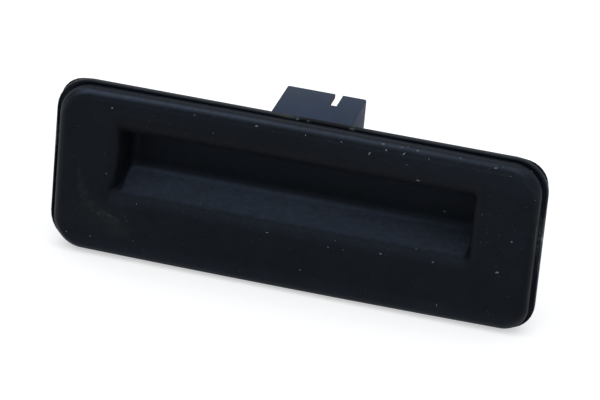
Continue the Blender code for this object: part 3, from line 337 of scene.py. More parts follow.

# %% [markdown]
# ## Glass-filled plastic of the carrier
# The carrier is polyamide with glass fibre, which leaves short pale flecks that follow the flow of the
# melt and a duller skin. The rim is worn pale in a few places, and painted light lies on the front of its
# right end. In front of the shroud the rim is darker with painted shade, and rougher. Behind the rim the
# plastic is rougher, since no hand polishes it there.

# %% Glass-filled plastic
RIM_SHADE = (  # where the rim gets painted shade and is rougher, in the same terms
    (5.0, 21.3, 6.5, 0.50, 0.95),
)
RIM_MARKS_AND_LIGHT = (  # the worn places of the rim, and painted light on the front of its right end
    (-3.4, 21.3, 2.00, 0.30, 0.16),
    (-1.2, 21.2, 0.30, 0.20, 0.8),
    (1.3, 21.2, 0.25, 0.20, 0.6),
    (11.8, 21.2, 0.50, 0.20, 0.4),
    # the next three rows are worn marks and painted light on the front of the rim's right end
    (58.6, 2.5, 0.30, 0.60, 1.0),
    (58.5, 3.0, 0.90, 4.50, 0.35),
    (58.6, -3.5, 0.60, 2.20, 0.25),
    (-58.6, 6.0, 0.40, 3.0, 0.4),
)
RIM_END, BEHIND_RIM = FRONT_Y / MM + 4.7, FRONT_Y / MM + 5.1  # where the polished rim ends


def glass_filled_polyamide():
    material, tree, shader, where = start_material("glass_filled_polyamide")
    along = add(tree, "ShaderNodeVectorMath", {0: where, 1: (0.22, 1.0, 1.0)}, operation="MULTIPLY")
    fibres = {"Vector": along, "Scale": 1 / 0.5, "Detail": 3.0, "Roughness": 0.7}
    fibres = {"Value": add(tree, "ShaderNodeTexNoise", fibres), "From Min": 0.56, "From Max": 0.72}
    fibres = add(tree, "ShaderNodeMapRange", fibres)
    flow = {"Vector": where, "Scale": 1 / 11.0, "Detail": 3.0, "Roughness": 0.6}
    flow = {"Value": add(tree, "ShaderNodeTexNoise", flow), "From Min": 0.3, "From Max": 0.7}
    flow = add(tree, "ShaderNodeMapRange", flow)
    faint = add(tree, "ShaderNodeMapRange", {"Value": fibres, "To Max": 0.24})
    worn = {"Vector": where, "Scale": 1 / 0.8, "Detail": 4.0, "Roughness": 0.7}
    worn = add(tree, "ShaderNodeTexNoise", worn)
    half = {"Value": worn, "From Min": 0.3, "From Max": 0.7}
    neat = add(tree, "ShaderNodeMapRange", {**half, "To Min": -0.1, "To Max": 0.3})
    ragged = add(tree, "ShaderNodeMapRange", {**half, "To Min": -0.3, "To Max": 1.3})
    # painted shade on the rim in front of the shroud, which is also made rougher
    shaded_and_dull = patches(tree, where, RIM_SHADE, neat)
    rubbed_and_lit = patches(tree, where, RIM_MARKS_AND_LIGHT, ragged)
    # the coats hold painted shade and painted light besides the fibres and worn marks
    wear_and_painted_light = ((flow, "#10151d"), (faint, "#303a4a"), (shaded_and_dull, "#040506"), (rubbed_and_lit, "#6d7574"))
    depth = add(tree, "ShaderNodeSeparateXYZ", {0: where}).outputs["Y"]
    hidden = add(tree, "ShaderNodeMapRange", {"Value": depth, "From Min": RIM_END, "From Max": BEHIND_RIM})
    gloss = {"Value": worn, "From Min": 0.35, "From Max": 0.65, "To Min": 0.40, "To Max": 0.56}
    gloss = add(tree, "ShaderNodeMapRange", gloss)
    gloss = add(tree, "ShaderNodeMath", {0: hidden, 1: 0.12, 2: gloss}, operation="MULTIPLY_ADD")
    gloss = add(tree, "ShaderNodeMath", {0: shaded_and_dull, 1: 0.35, 2: gloss}, operation="MULTIPLY_ADD")
    skin = add(tree, "ShaderNodeTexNoise", {"Vector": where, "Scale": 1 / 0.3})
    skin = add(tree, "ShaderNodeBump", {"Height": skin, "Distance": 0.006 * MM})
    relief = {"Height": fibres, "Distance": 0.004 * MM, "Normal": skin}
    feed(tree, shader, {
        "Base Color": coats(tree, "#0a0e14", *wear_and_painted_light), "Roughness": gloss,
        "Specular IOR Level": 0.17, "Specular Tint": "#cfe0f2", "Normal": add(tree, "ShaderNodeBump", relief),
    })
    return material


keep_finish("frame_plastic", glass_filled_polyamide())

# %% [markdown]
# ## Technical plastics
# The switch housing is PBT, greyer and more matt than the carrier. The case of the switch is PBT too,
# darker and smoother. Flow marks some five millimetres long shift their colour and gloss a little, and
# a fine speckle comes from the mould. The lever and the plunger are natural acetal, milky and slippery,
# so a little light goes into them.


# %% Technical plastics
def moulded_pbt(name, dark, light, rough, shine):
    material, tree, shader, where = start_material(name)
    along = add(tree, "ShaderNodeVectorMath", {0: where, 1: (1.0, 0.5, 1.0)}, operation="MULTIPLY")
    flow = {"Vector": along, "Scale": 1 / 5.0, "Detail": 4.0, "Roughness": 0.6}
    flow = {"Value": add(tree, "ShaderNodeTexNoise", flow), "From Min": 0.3, "From Max": 0.7}
    speckle = {"Vector": where, "Scale": 1 / 0.35, "Roughness": 0.6}
    speckle = {"Value": add(tree, "ShaderNodeTexNoise", speckle), "From Min": 0.35, "From Max": 0.65}
    speckle = add(tree, "ShaderNodeMapRange", speckle)
    faint = add(tree, "ShaderNodeMapRange", {"Value": speckle, "To Max": 0.14})
    matt = {**flow, "To Min": rough - 0.05, "To Max": rough + 0.06}
    feed(tree, shader, {
        "Base Color": coats(tree, dark, (add(tree, "ShaderNodeMapRange", flow), light), (faint, "#000000")),
        "Roughness": add(tree, "ShaderNodeMapRange", matt),
        "Specular IOR Level": shine, "Specular Tint": "#d8e2ff",
        "Normal": add(tree, "ShaderNodeBump", {"Height": speckle, "Distance": 0.005 * MM}),
    })
    return material


def natural_acetal(name, milky, shaded):
    material, tree, shader, where = start_material(name)
    along = add(tree, "ShaderNodeVectorMath", {0: where, 1: (0.4, 1.0, 1.0)}, operation="MULTIPLY")
    flow = {"Vector": along, "Scale": 1 / 6.0, "Detail": 3.0}
    flow = {"Value": add(tree, "ShaderNodeTexNoise", flow), "From Min": 0.3, "From Max": 0.7}
    skin = add(tree, "ShaderNodeTexNoise", {"Vector": where, "Scale": 1 / 0.4})
    feed(tree, shader, {
        "Base Color": coats(tree, milky, (add(tree, "ShaderNodeMapRange", flow), shaded)),
        "Roughness": add(tree, "ShaderNodeMapRange", {**flow, "To Min": 0.32, "To Max": 0.42}),
        "Subsurface Weight": 0.15, "Subsurface Scale": 0.6 * MM,
        "Normal": add(tree, "ShaderNodeBump", {"Height": skin, "Distance": 0.004 * MM}),
    })
    return material


keep_finish("housing_plastic", moulded_pbt("grey_pbt", "#2a3445", "#323e51", 0.72, 0.20))
keep_finish("switch_plastic", moulded_pbt("switch_pbt", "#1d2024", "#25282d", 0.38, 0.4))
keep_finish("acetal", natural_acetal("natural_acetal", "#cdccc3", "#c2c1b6"))
keep_finish("plunger_plastic", natural_acetal("white_acetal", "#dedcd4", "#d2d0c7"))

# %% [markdown]
# ## Foam of the gasket
# Closed-cell foam: soft black with pores of about half a millimetre. Cells are what a Voronoi pattern
# draws, and a bump gives them their depth.

# %% Foam
PORE = 0.55  # in millimetres


def closed_cell_foam():
    material, tree, shader, where = start_material("closed_cell_foam")
    cells = add(tree, "ShaderNodeTexVoronoi", {"Vector": where, "Scale": 1 / PORE}).outputs["Distance"]
    pores = add(tree, "ShaderNodeMapRange", {"Value": cells, "From Min": 0.1, "From Max": 0.55})
    feed(tree, shader, {
        "Base Color": coats(tree, "#0c0c0d", (pores, "#26272a")),
        "Roughness": 0.92, "Specular IOR Level": 0.2,
        "Normal": add(tree, "ShaderNodeBump", {"Height": pores, "Distance": 0.08 * MM}),
    })
    return material


keep_finish("foam", closed_cell_foam())

# %% [markdown]
# ## Metals
# The clips and springs are spring steel, tempered blue and oiled. The screws are steel with a zinc
# coat, whose crystals give pale and dull patches, and the lever turns on pins of ground steel. The pins
# in the socket are tinned bronze, and the contacts in the switch are plain copper alloy, rolled, so
# their scratches run one way.

# %% Metals
METALS = (  # slot, name, two colours, roughness, patches and scratches in mm, and how scratches stretch
    ("spring_steel", "tempered_spring_steel", "#6f7680", "#565b66", 0.32, 3.0, 0.2, (0.15, 1.0, 1.0)),
    ("zinc", "zinc_plated_steel", "#a9adb3", "#8f9499", 0.34, 0.8, 0.15, (1.0, 1.0, 1.0)),
    ("steel", "ground_steel", "#b4b6ba", "#a1a4a9", 0.26, 2.0, 0.1, (1.0, 0.1, 0.1)),
    ("tin", "tinned_bronze", "#c9c7c0", "#b3b1aa", 0.3, 1.2, 0.15, (1.0, 0.2, 1.0)),
    ("copper", "rolled_copper_alloy", "#c98f66", "#b57a52", 0.3, 1.5, 0.12, (1.0, 1.0, 0.15)),
)


def metal(name, bright, dull, rough, crystal, scratch, stretch):
    material, tree, shader, where = start_material(name)
    crystals = {"Vector": where, "Scale": 1 / crystal, "Detail": 3.0, "Roughness": 0.6}
    crystals = {"Value": add(tree, "ShaderNodeTexNoise", crystals), "From Min": 0.35, "From Max": 0.65}
    crystals = add(tree, "ShaderNodeMapRange", crystals)
    along = add(tree, "ShaderNodeVectorMath", {0: where, 1: stretch}, operation="MULTIPLY")
    lines = {"Vector": along, "Scale": 1 / scratch, "Detail": 3.0, "Roughness": 0.7}
    lines = add(tree, "ShaderNodeTexNoise", lines)
    both = add(tree, "ShaderNodeMath", {0: crystals, 1: lines}, operation="MULTIPLY")
    matt = {"Value": both, "From Min": 0.1, "From Max": 0.6, "To Min": rough - 0.08, "To Max": rough + 0.14}
    feed(tree, shader, {
        "Base Color": coats(tree, bright, (crystals, dull)), "Metallic": 1.0,
        "Roughness": add(tree, "ShaderNodeMapRange", matt),
        "Normal": add(tree, "ShaderNodeBump", {"Height": lines, "Distance": 0.003 * MM}),
    })
    return material


for slot, *look in METALS:
    keep_finish(slot, metal(*look))

# %% [markdown]
# ## The rubber cover
# The cover is one moulding: an edge rolled to a radius of 2.4 mm, a flat front, and the recess with its
# round roof, flat ends and sloping shelf. Its section is a line with rounded corners, and that section
# changes from the ends to the long sides. So it is lofted: rounded rectangles, one inside the other,
# each with its own depth. The same loft made the solid, but here the steps are fine enough that no
# facet shows, and the flats have points too, to carry the dust, the painted light and shade, and the
# waves.

# %% Rounded lines
END, BELOW, ABOVE = range(3)  # the three sections: at both ends, below the middle and above it


def rounded_line(corners, radii, arcs, pitch):
    """A line of (out, depth, spot) points with rounded corners. arcs and pitch set how fine it is."""
    line = []
    for i, corner in enumerate(corners):
        corner = Vector(corner)
        if arcs[i] == 0:
            made = [(corner.x, corner.y, float(i))]
        else:
            before = (Vector(corners[i - 1]) - corner).normalized()
            after = (Vector(corners[i + 1]) - corner).normalized()
            half = before.angle(after) / 2
            centre = corner + (before + after).normalized() * radii[i] / math.sin(half)
            start = corner + before * radii[i] / math.tan(half) - centre
            end = corner + after * radii[i] / math.tan(half) - centre
            sweep = start.angle(end)
            made = []
            for step in range(arcs[i] + 1):
                share = step / arcs[i]
                spoke = start * math.sin((1 - share) * sweep) + end * math.sin(share * sweep)
                spoke = spoke / math.sin(sweep)
                made.append((centre.x + spoke.x, centre.y + spoke.y, i - 0.5 + share))
        if line:
            for step in range(1, pitch[i - 1]):
                share = step / pitch[i - 1]
                line.append(tuple(a + (b - a) * share for a, b in zip(line[-step], made[0])))
        line.extend(made)
    return line


corner_test = rounded_line([(0, 0), (4, 0), (4, 4)], [0, 1, 0], [0, 6, 0], [1, 1])
print("a rounded corner takes", len(corner_test), "points")

# %% [markdown]
# ### Sections of the two skins
# The front skin runs from the tucked edge over the roll, across the flat and down the recess's wall.
# The back skin runs beside it, one wall thickness behind. The recess's front edges are rounder in the
# front skin than in the back one, most of all under the roof, where the fingers hook in.

# %% Sections
FACE = (58.4, 21.8, 21.45)  # half width, and how far the front reaches below and above the middle
RECESS = (42.3, 5.4, 9.5)  # the same for the recess's mouth
SLOPES = tuple(math.radians(angle) for angle in (89.5, 77, 90))  # of the recess's ends, shelf and roof
RECESS_DEPTH, WALL, EDGE_WALL = 12.8, 1.7, 1.5
EDGE_DEPTH = 4.1  # how deep the rubber's edge goes, tucked inside the rim
TUCK = (1.0, 0.2765)  # how far the edge lies inside the face, at its end and at the front
ROLL, INNER_ROLL = 2.4, 0.8
MOUTH = (2.5, 3.6, 7.0)  # radii of the mouth's front edges
INNER_MOUTH = (2.5, 3.6, 5.0)  # the same for the back skin, before the wall is taken off
SMALLEST = 0.3
ROOT, INNER_ROOT = 2.0, 1.5  # radii between the walls and the back of the recess
BACK_STRIP = 3.2  # the last step over the flat back of the recess


def section(side, wall, tuck, radii, arcs, pitch):
    """A skin's section on one side, from the outer edge to the back of the recess."""
    slope, floor = SLOPES[side], RECESS_DEPTH + wall
    edge = [RECESS[side] - depth / math.tan(slope) + wall / math.sin(slope) for depth in (wall, floor)]
    outer = [(FACE[side] - tuck[0], EDGE_DEPTH), (FACE[side] - tuck[1], wall)]
    corners = [*outer, (edge[0], wall), (edge[1], floor), (edge[1] - BACK_STRIP, floor)]
    return rounded_line(corners, radii, arcs, pitch)


front = [
    section(side, 0.0, TUCK, [0, ROLL, MOUTH[side], ROOT, 0], [0, 12, 14, 8, 0], [2, 10, 12, 3])
    for side in (END, BELOW, ABOVE)
]
inner_tuck = (TUCK[0] + EDGE_WALL, TUCK[1] + EDGE_WALL)
inner_radii = [max(radius - WALL, SMALLEST) for radius in INNER_MOUTH]
inner_radii = [[0, INNER_ROLL, radius, INNER_ROOT, 0] for radius in inner_radii]
back = [
    section(side, WALL, inner_tuck, inner_radii[side], [0, 3, 5, 4, 0], [1, 2, 2, 1])
    for side in (END, BELOW, ABOVE)
]
print("rings in the front skin:", len(front[END]), "and in the back skin:", len(back[END]))

# %% [markdown]
# ### Rings
# One ring takes a point from each section: how far out and how deep it lies at the ends, below and
# above. Its corners are arcs, whose radius shrinks from the face's corner to the recess's. The face's
# long sides bow outwards by three tenths of a millimetre, and its lower right corner is tighter than
# the rest.

# %% Rings
CORNER_STEPS, LONG_STEPS, SHORT_STEPS = 14, 96, 26


def part_way(values, spot):
    """A value part of the way along a list, such as a corner radius between two corners."""
    low = min(int(max(spot, 0)), len(values) - 2)
    return values[low] + (values[low + 1] - values[low]) * (min(max(spot, 0), len(values) - 1) - low)


def ring(side, low, high, radius, bow, tight):
    """The points of one ring, anticlockwise from the right end. Its sides may lie at unlike depths."""
    points = []
    rounds = (radius, radius, radius, radius - tight)
    for i, (right, up, start) in enumerate(((1, 1, 0.0), (-1, 1, 0.5), (-1, -1, 1.0), (1, -1, 1.5))):
        edge = high if up > 0 else low
        turn, following = rounds[i], rounds[(i + 1) % 4]
        middle_x, middle_z = right * (side[0] - turn), up * (edge[0] - turn)
        for step in range(CORNER_STEPS + 1):
            angle = (start + 0.5 * step / CORNER_STEPS) * math.pi
            depth = side[1] + (edge[1] - side[1]) * math.sin(angle) ** 2
            points.append((middle_x + turn * math.cos(angle), depth, middle_z + turn * math.sin(angle)))
        if start in (0.0, 1.0):
            width = 2 * side[0] - turn - following
            for step in range(1, LONG_STEPS):
                share = step / LONG_STEPS
                bowed = bow * 4 * share * (1 - share)
                points.append((middle_x - right * width * share, edge[1], up * (edge[0] + bowed)))
        else:
            height = high[0] + low[0] - turn - following
            for step in range(1, SHORT_STEPS):
                points.append((right * side[0], side[1], middle_z - up * height * step / SHORT_STEPS))
    return points


print("points in a ring:", len(ring(front[END][0], front[BELOW][0], front[ABOVE][0], 7.1, 0.3, 1.5)))

# %% [markdown]
# ### Lofting it
# The rings are joined into two skins, the front and the back, and the back edge closes them. A real
# cover isn't quite flat either, so the front sinks by five to nine hundredths of a millimetre in slow
# waves. They make its highlights waver and leave room for the dust. The recess's lower left corner
# flares out by 1.7 mm, and the cover's left end is pulled in by a third of a millimetre.

# %% Cover
FRONT_CORNERS = [7.1, 7.4, 1.5, 1.4, 1.0]  # ring radii at the section's five corners
BACK_CORNERS = [5.6, 5.9, 5.5, 2.0, 1.0]
BOW = [0.3, 0.3, 0, 0, 0]
TIGHT = [1.5, 1.5, 0, 0, 0]
FLARE, SINK, WAVES, PULL = 1.7, 0.05, 0.04, 0.35
WAVES_PER_METRE = 45


def ease(value, start, end):
    """0 at the start, 1 at the end, and a soft step between. The end may lie below the start."""
    share = min(max((value - start) / (end - start), 0.0), 1.0)
    return share * share * (3 - 2 * share)


def loft(bm, sides, corners):
    """Faces between the rings of one skin, closed in the middle. Gives back its outer ring."""
    loops = []
    for side, low, high in zip(*sides):
        spot = side[2]
        points = ring(side, low, high, part_way(corners, spot), part_way(BOW, spot), part_way(TIGHT, spot))
        loops.append([bm.verts.new(place(*point)) for point in points])
    for outer, within in zip(loops, loops[1:]):
        for k in range(len(outer)):
            bm.faces.new((outer[k - 1], outer[k], within[k], within[k - 1]))
    bm.faces.new(loops[-1])
    return loops[0]


def settle(vert):
    """Give a point of the cover its share of the flare, the waves and the pull at the left end."""
    depth = (vert.co.y - FRONT_Y) / MM
    flare = ease(-vert.co.z / MM, -2, 7) * ease(-vert.co.x / MM, 37, 42) * ease(-vert.co.x / MM, 51, 45)
    vert.co.x -= FLARE * MM * flare * ease(depth, 5.0, 0.3) * ease(-vert.co.z / MM, 14, 9)
    wave = noise.noise(vert.co * WAVES_PER_METRE) * 0.5 + 0.5
    vert.co.y += (SINK + WAVES * wave) * MM * ease(depth, 1.6, 0.3)
    vert.co.x += PULL * MM * min(max((-vert.co.x / MM - 48) / 8, 0), 1)


def make_cover():
    bm = bmesh.new()
    outside, inside = loft(bm, front, FRONT_CORNERS), loft(bm, back, BACK_CORNERS)
    for k in range(len(outside)):
        bm.faces.new((outside[k - 1], outside[k], inside[k], inside[k - 1]))
    bmesh.ops.recalc_face_normals(bm, faces=bm.faces)
    for vert in bm.verts:
        settle(vert)
    mesh = mesh_from(bm, "rubber_cover")
    mesh.shade_smooth()
    mesh.set_sharp_from_angle(angle=math.radians(50))
    return put_in_scene("rubber_cover", mesh)


cover = make_cover()
print("cover:", len(cover.data.polygons), "faces")

# %% [markdown]
# ### Where dust, painted light and painted shade lie
# A layer of dust isn't a pattern: it lies where the rubber faces up and no finger wipes it. With it go a
# painted highlight where the top edge is half rolled over, and painted light on the shelf and its lip.
# Painted shade makes the recess's upper edge darker where it faces down, and the turned right end. So
# each point of the mesh gets two numbers from 0 to 1, from where it is and how far it leans back, and
# the rubber reads them as attributes.


# %% Dust, painted light and painted shade
def ramp(value, low, high):
    """0 at the low end, 1 at the high end, and a straight line between."""
    return min(max((value - low) / (high - low), 0.0), 1.0)


def dust_and_painted_light_at(x, z, depth, lean, aside):
    """How pale the rubber is made at a place in millimetres, where it leans back by lean degrees: dust, with
    a painted highlight and painted light.
    """
    if z > 12:  # the top edge: dust and a painted highlight, most where it is half rolled over, less to the right and at the corners
        rightward = 0.22 * ramp(x, -10, 30) + 0.26 * ease(x, 18, 46)
        crest = 0.42 * math.exp(-(((lean - 50) / 14) ** 2)) * (1 - rightward)
        haze = 0.05 * math.exp(-(((lean - 11) / 7) ** 2)) + 0.03 * ramp(x, 0, 30) * ease(z, 12, 17)
        # a little painted light where the roll turns up into the dark gap under the rim
        return crest * (1 - 0.8 * ramp(aside, 0.10, 0.55)) + haze + 0.05 * ease(lean, 70, 82)
    if abs(z) < 8.5 and lean > 0 and abs(x) < 44:  # the shelf: dust with painted light that grows inwards against the recess's shade, less to the right, and a little painted light on its lip that grows as it leans back
        inward = ease(depth, 2.5, 8)
        shelf = (0.23 + 0.37 * depth / RECESS_DEPTH) * (1 - 0.5 * ramp(x, 0, 40) * ramp(depth, 3, 12))
        lip = 0.038 * ramp(lean, 2, 30) + 0.07 * ramp(lean, 42, 62)
        return max(shelf * ramp(lean, 52 - 26 * inward, 77 - 17 * inward), lip)
    if z < -15:  # a little along the lower edge
        return 0.08 * ramp(-z, 16, 20.5)
    return 0.0


def painted_shade_at(x, z, depth, lean, rightward):
    """How much painted shade the rubber gets: under the recess's upper edge, and on the turned right end."""
    if z > 8 and depth < 10:
        return ease(-lean, 1, 14) * (1 - 0.9 * ease(-lean, 25, 55))
    if x > 50 and z < 14:
        return ease(rightward, 0.12, 0.5)
    return 0.0


def paint(obj):
    """Write both numbers to each point of the mesh."""
    dust_and_painted_light, painted_shade = (np.zeros(len(obj.data.vertices), np.float32) for _ in range(2))
    for i, vert in enumerate(obj.data.vertices):
        lean = math.degrees(math.asin(max(-1.0, min(1.0, vert.normal.z))))
        x, z, depth = vert.co.x / MM, vert.co.z / MM, (vert.co.y - FRONT_Y) / MM
        dust_and_painted_light[i] = dust_and_painted_light_at(x, z, depth, lean, abs(vert.normal.x))
        painted_shade[i] = painted_shade_at(x, z, depth, lean, vert.normal.x)
    for name, values in (("dust_and_painted_light", dust_and_painted_light), ("painted_shade", painted_shade)):
        obj.data.attributes.new(name, "FLOAT", "POINT").data.foreach_set("value", values)
    print("points under a film:", int((dust_and_painted_light > 0.05).sum()), "greasy ones:", int((painted_shade > 0.05).sum()))


paint(cover)
cover.data.materials.append(finishes["rubber"])
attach(cover, "root")
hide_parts("soft_cover")

# %% [markdown]
# ## Fine edges on the plastic and stamped parts
# No moulded edge is truly sharp, and the thin line of light on it is what makes plastic look real. The
# solids have sharp edges where pieces of them meet. So each one is copied, its loose triangles are
# merged, and a narrow bevel goes on the edges that turn by more than 40 degrees.

# %% Bevelled copies
MERGE = 0.002 * MM
FLAT, SHARP, BEVELLED = math.radians(0.5), math.radians(35), math.radians(40)
FINE_EDGES = (  # node, name of its copy, finish and width of the bevel in millimetres
    ("carrier_frame", "carrier", "frame_plastic", 0.12),
    ("switch_housing", "housing", "housing_plastic", 0.12),
    ("switch_cover", "chamber_lid", "frame_plastic", 0.10),
    ("press_lever", "rocker", "acetal", 0.12),
    ("switch_case", "switch_body", "switch_plastic", 0.06),
    ("switch_lid", "switch_back", "switch_plastic", 0.06),
    ("connector_pin_left", "pin_strip_left", "tin", 0.08),
    ("connector_pin_right", "pin_strip_right", "tin", 0.08),
    ("retaining_clip_left", "clip_left", "spring_steel", 0.06),
    ("retaining_clip_right", "clip_right", "spring_steel", 0.06),
)


def with_fine_edges(node, name, finish, width):
    """A copy of a solid with its edges broken by width millimetres, in its place."""
    source = frame["nodes"][node]
    bm = bmesh.new()
    bm.from_mesh(source.data)
    bmesh.ops.remove_doubles(bm, verts=bm.verts, dist=MERGE)
    bmesh.ops.dissolve_limit(bm, angle_limit=FLAT, verts=bm.verts, edges=bm.edges)
    mesh = mesh_from(bm, name)
    mesh.shade_smooth()
    mesh.set_sharp_from_angle(angle=SHARP)
    obj = put_in_scene(name, mesh)
    bevel = obj.modifiers.new("edges", "BEVEL")
    bevel.width = width * MM
    bevel.segments = 2
    bevel.limit_method = "ANGLE"
    bevel.angle_limit = BEVELLED
    bevel.harden_normals = True
    obj.data.materials.append(finishes[finish])
    keep_result(obj)
    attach(obj, source["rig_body"])
    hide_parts(node)


for node, name, finish, width in FINE_EDGES:
    with_fine_edges(node, name, finish, width)

# %% [markdown]
# ## Pieces that keep their solid
# The gasket is a plain punched ring, and the dowels and the parts inside the switch are turned or
# stamped shapes that the solids already give, so they only take their finish.

# %% Finishes on the kept solids
KEPT = {
    "panel_gasket": "foam",
    "lever_pin_left": "steel",
    "lever_pin_right": "steel",
    "switch_plunger": "plunger_plastic",
    "contact_bridge": "copper",
    "fixed_contact_left": "copper",
    "fixed_contact_right": "copper",
}
for node, finish in KEPT.items():
    solid = frame["nodes"][node]
    solid.data.materials.clear()
    solid.data.materials.append(finishes[finish])
print("kept solids:", ", ".join(KEPT))

# %% [markdown]
# ## Coil springs
# A compression spring is a wire wound at an even pitch with one turn at each end closed down flat. That
# is a rule, so Geometry Nodes makes it: a spiral curve, its height bent by a float curve, and a round
# wire swept along it.

# %% Spring tree
WIRE_RADIUS = 0.2 * MM
CLOSED_ENDS = ((0.0, 0.0), (0.17, 0.15), (0.25, 0.22), (0.75, 0.78), (0.83, 0.85), (1.0, 1.0))


def start_tree(name, sizes, material):
    """An empty tree with its sizes and its material as named inputs."""
    tree = bpy.data.node_groups.new(name, "GeometryNodeTree")
    for label, value in sizes.items():
        tree.interface.new_socket(label, in_out="INPUT", socket_type="NodeSocketFloat").default_value = value
    tree.interface.new_socket(material, in_out="INPUT", socket_type="NodeSocketMaterial")
    tree.interface.new_socket("Geometry", in_out="OUTPUT", socket_type="NodeSocketGeometry")
    return tree


def end_tree(tree, made, material):
    """Every tree ends in Realize Instances and Set Material."""
    whole = add(tree, "GeometryNodeRealizeInstances", {0: made})
    dressed = add(tree, "GeometryNodeSetMaterial", {"Geometry": whole, "Material": material})
    add(tree, "NodeGroupOutput", {"Geometry": dressed})
    return tree


def spring_tree():
    sizes = {"Coil Radius": 1.1 * MM, "Wire Radius": WIRE_RADIUS, "Length": 2.5 * MM, "Turns": 4.25}
    tree = start_tree("coil_spring", sizes, "Wire")
    given = add(tree, "NodeGroupInput").outputs
    spiral = add(tree, "GeometryNodeCurveSpiral", {
        "Resolution": 40, "Rotations": given["Turns"], "Start Radius": given["Coil Radius"],
        "End Radius": given["Coil Radius"], "Height": 1.0,
    })
    x, y, z = add(tree, "ShaderNodeSeparateXYZ", {0: add(tree, "GeometryNodeInputPosition")}).outputs
    closing = add(tree, "ShaderNodeFloatCurve", {"Value": z})
    points = closing.mapping.curves[0].points
    for i, (at, height) in enumerate(CLOSED_ENDS):
        point = points[i] if i == 0 else points.new(at, height)
        point.location = (at, height)
    closing.mapping.update()
    height = add(tree, "ShaderNodeMath", {0: closing, 1: given["Length"]}, operation="MULTIPLY")
    bent = {"Geometry": spiral, "Position": add(tree, "ShaderNodeCombineXYZ", {0: x, 1: y, 2: height})}
    bent = add(tree, "GeometryNodeSetPosition", bent)
    wire = add(tree, "GeometryNodeCurvePrimitiveCircle", {"Resolution": 12, "Radius": given["Wire Radius"]})
    swept = {"Curve": bent, "Profile Curve": wire, "Fill Caps": True}
    smooth = add(tree, "GeometryNodeSetShadeSmooth", {0: add(tree, "GeometryNodeCurveToMesh", swept)})
    return end_tree(tree, smooth, given["Wire"])


coil = spring_tree()
print("spring tree:", len(coil.nodes), "nodes")

# %% [markdown]
# ### Growing a tree into a piece
# A tree runs as a modifier on an empty mesh. Its inputs are set by their identifiers before the object
# is first evaluated. The result becomes a plain mesh, which is turned and moved to its place, so the
# object itself stays at the origin.


def grow(tree, name, values, centre, finish, turn=Matrix()):
    """Run a tree with its values on an empty mesh, and keep the result as a plain mesh in its place."""
    carrier = put_in_scene(name, bpy.data.meshes.new(name))
    modifier = carrier.modifiers.new("shape", "NODES")
    modifier.node_group = tree
    for item in tree.interface.items_tree:
        if item.in_out == "INPUT" and item.name in values:
            modifier[item.identifier] = values[item.name]
        if item.in_out == "INPUT" and item.socket_type == "NodeSocketMaterial":
            modifier[item.identifier] = finish
    keep_result(carrier)
    carrier.data.transform(Matrix.Translation(centre) @ turn)
    carrier.data.update()
    return carrier


for side in ("left", "right"):
    low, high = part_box(f"lever_spring_{side}")
    middle = (low + high) / 2
    length = high.z - low.z - 2 * WIRE_RADIUS
    foot = Vector((middle.x, middle.y, low.z + WIRE_RADIUS))
    spring = grow(coil, f"coil_{side}", {"Length": length}, foot, finishes["spring_steel"])
    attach(spring, "root")
    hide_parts(f"lever_spring_{side}")
    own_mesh(spring)
    print(spring.name, len(spring.data.polygons), "faces, length", round(length * 1000, 2), "mm")

# %% [markdown]
# ## Screws
# Each screw is a pan head with a six-lobed recess, a shank and a rolled thread. The head is a turned
# profile with the recess cut out of it, and the thread is a spiral, which Geometry Nodes winds round
# the shank from its pitch.


# %% Thread tree
def thread_tree():
    sizes = {"Shank Radius": 0.95 * MM, "Crest": 0.15 * MM, "Pitch": 0.9 * MM, "Length": 4.6 * MM}
    tree = start_tree("rolled_thread", sizes, "Metal")
    given = add(tree, "NodeGroupInput").outputs
    turns = add(tree, "ShaderNodeMath", {0: given["Length"], 1: given["Pitch"]}, operation="DIVIDE")
    spiral = add(tree, "GeometryNodeCurveSpiral", {
        "Resolution": 24, "Rotations": turns, "Start Radius": given["Shank Radius"],
        "End Radius": given["Shank Radius"], "Height": given["Length"],
    })
    upright = add(tree, "GeometryNodeSetCurveNormal", {0: spiral}, mode="Z_UP")
    ridge = add(tree, "GeometryNodeCurvePrimitiveCircle", {"Resolution": 6, "Radius": given["Crest"]})
    swept = {"Curve": upright, "Profile Curve": ridge, "Fill Caps": True}
    swept = add(tree, "GeometryNodeCurveToMesh", swept)
    core = {"Vertices": 24, "Radius": given["Shank Radius"], "Depth": given["Length"]}
    core = add(tree, "GeometryNodeMeshCylinder", core)
    half = add(tree, "ShaderNodeMath", {0: given["Length"], 1: 0.5}, operation="MULTIPLY")
    lift = add(tree, "ShaderNodeCombineXYZ", {2: half})
    core = add(tree, "GeometryNodeTransform", {"Geometry": core, "Translation": lift})
    joined = add(tree, "GeometryNodeJoinGeometry", {0: core})
    feed(tree, joined, {0: swept})
    return end_tree(tree, joined, given["Metal"])


thread = thread_tree()
print("thread tree:", len(thread.nodes), "nodes")

# %% [markdown]
# ### Heads
# The pan head's profile is turned round the axis with bmesh's spin. The recess is a star of six round
# lobes pushed into it, cut with a Boolean.

# %% Screw heads
HEAD_RADIUS, HEAD_HEIGHT = 2.3, 1.6
UNDERCUT, RIM_STEP, DOME = 0.1, 0.12, 0.9  # of the head's profile
DOME_STARTS = 0.45  # as a share of the head's height, like the next one
RECESS_STARTS = 0.42
STAR_RADIUS, LOBE, LOBES = 1.12, 0.2, 6
HEAD_STEPS, DOME_STEPS, STAR_STEPS = 48, 8, 72


